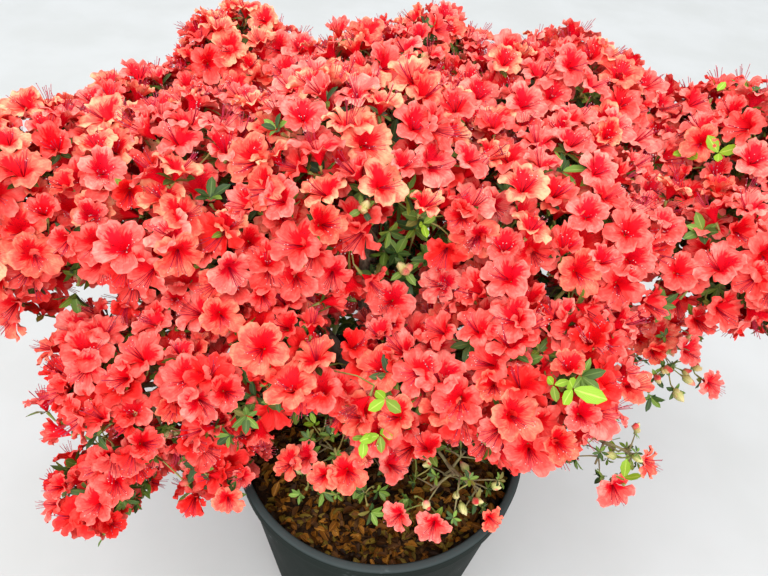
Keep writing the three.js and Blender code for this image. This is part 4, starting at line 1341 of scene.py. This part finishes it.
def chipShape(seed):
    # a flat splinter: two uneven five-sided rings, closed at both faces
    k = np.arange(5)
    angle = 2 * np.pi * k / 5
    r = 0.3 + 0.22 * chance(seed * 9 + k, 91)
    low = np.stack([r * 1.5 * np.cos(angle), r * 0.8 * np.sin(angle), -0.07 + 0 * r], -1)
    high = low * [0.86, 0.8, 1] + [0.03, 0.02, 0.16]
    return np.concatenate([low, high]), [gridFaces(2, 5, True), np.stack([k[::-1], k + 5])], None


def scatter(count, seed):
    # evenly spread places on the mix, r = reach sqrt(chance), lying almost flat on its height
    look = litterLook
    k = np.arange(count)
    r = look["reach"] * np.sqrt(chance(k, seed))
    angle = 2 * np.pi * chance(k, seed + 1)
    x, y = r * np.cos(angle), r * np.sin(angle)
    z = soilHeight(x * mm, y * mm) / mm + spread(k, seed + 2, *look["lift"])
    lean = np.stack([chance(k, seed + 3) - 0.5, chance(k, seed + 4) - 0.5, 0 * r], -1) * look["lean"]
    return np.stack([x, y, z], -1), unit(up + lean), k


def makeLitter():
    # fallen leaves, lifted where they would dip into the mix, and chips of bark
    look = litterLook
    places, facing, k = scatter(look["leaves"], 101)
    axes = frames(facing, k + 0.5, look["turn"])
    shapes = [leafShape(*values) for values in look["shapes"]]
    variety, tiles = pickOf(k, 108, len(shapes)), pickOf(k, 107, len(litterTints))
    sizes = spread(k, 106, *look["length"])
    points, *mapped = stampVarieties(shapes, variety, k, places, axes, sizes, tiles, len(litterTints))
    lowest = soilHeight(points[:, 0], points[:, 1]) + look["above"] * mm
    points[:, 2] = np.maximum(points[:, 2], lowest)
    fallen = makeMesh("dead_leaves", litterMaterial(), points, *mapped)
    finishPiece(fallen, "potting_mix", "potting_mix")
    places, facing, k = scatter(look["chips"], 121)
    axes = frames(facing, k + 0.7, look["turn"])
    shapes = [chipShape(number + 1) for number in range(look["chipShapes"])]
    stamped = stampVarieties(shapes, k % len(shapes), k, places, axes, spread(k, 126, *look["chip"]))
    brown = plainMaterial("barkChip", colour(64, 41, 22), colour(102, 69, 38), 0.85, Specular_IOR_Level=0.2)
    chips = makeMesh("bark_chips", brown, *stamped, smooth=False)
    finishPiece(chips, "potting_mix", "potting_mix")


# Floor, light and camera

lamps = {
    # place, target, width in metres, watts and tint of each disc of light
    "overhead": ((-0.8, -0.6, 3.0), (0, 0.2, 0.4), 3.0, 28, (1.0, 0.98, 0.95)),
    "frontFill": ((0.3, -2.6, 2.9), (0, 0.1, 0.35), 3.0, 52, (1.0, 0.98, 0.97)),
}
roomLight = {"tint": (0.92, 0.96, 1.0, 1.0), "strength": 1.42}
floorLook = {"reach": 12, "below": 0.0005, "dark": colour(190, 190, 187), "light": colour(197, 197, 195)}
cameraLook = {
    # degrees down and rolled, and the photograph's focal length and width in pixels
    "place": (-0.011, -0.457, 0.958), "down": 42.5, "roll": 4.8, "focal": 620, "wide": 768, "sensor": 36.0,
}


def makeStage():
    # a wide flat square in pale grey with faint clouds, half a millimetre under the pot
    look = floorLook
    material, tree, shader = newMaterial("floorPaint", 0.75)
    clouds = mapRange(tree, noise(tree, objectCoordinates(tree), 3.0, 4.0), 0.3, 0.7)
    paint(tree, shader, mixColours(tree, clouds, look["dark"], look["light"]))
    corners = look["reach"] * np.array([[-1, -1, 0], [1, -1, 0], [1, 1, 0], [-1, 1, 0]])
    lowered = corners - [0, 0, look["below"]]
    floor = makeMesh("floor", material, lowered, [np.array([[0, 1, 2, 3]])], smooth=False)


def placeObject(name, data, place, axes):
    # an object of its own for a lamp or camera, whose axes are the columns
    placed = bpy.data.objects.new(name, data)
    bpy.context.scene.collection.objects.link(placed)
    matrix = np.eye(4)
    matrix[:3, :3] = np.stack(axes, -1)
    matrix[:3, 3] = place
    placed.matrix_world = matrix.T
    return placed


def makeLights():
    # soft light from the whole room, and large discs that look at their targets
    world = bpy.data.worlds.new("softRoom")
    bpy.context.scene.world = world
    world.use_nodes = True
    background = world.node_tree.nodes["Background"]
    background.inputs[0].default_value = roomLight["tint"]
    background.inputs[1].default_value = roomLight["strength"]
    for name, (place, target, size, power, tint) in lamps.items():
        data = bpy.data.lights.new(name, "AREA")
        data.shape = "DISK"
        data.size = size
        data.energy = power
        data.color = tint
        back = unit(np.subtract(place, target))
        side = unit(np.cross(up, back))
        placeObject(name, data, place, [side, np.cross(back, side), back])


def makeCamera():
    # looks along (0, cos down, -sin down), then rolls about that line; lens = sensor x focal / wide
    look = cameraLook
    down, roll = math.radians(look["down"]), math.radians(look["roll"])
    data = bpy.data.cameras.new("photoView")
    data.sensor_width = look["sensor"]
    data.lens = look["sensor"] * look["focal"] / look["wide"]
    data.clip_start = 0.01
    data.clip_end = 50.0
    forward = np.array([0, math.cos(down), -math.sin(down)])
    level = np.array([0, math.sin(down), math.cos(down)])
    aside = np.array([1.0, 0, 0])
    right = math.cos(roll) * aside + math.sin(roll) * level
    above = -math.sin(roll) * aside + math.cos(roll) * level
    bpy.context.scene.camera = placeObject("photoView", data, look["place"], [right, above, -forward])


makeCamera()
makeLights()
makeStage()
print("stage ready")
makePot()
makeSoil()
makeLitter()
print("pot and mix ready")
makeLimbPieces()
makeTwigs()
print("wood ready")
makeLeaves()
makePetals()
makeStamens()
makeBuds()
print("crown ready")
bpy.context.scene.view_settings.view_transform = "Standard"
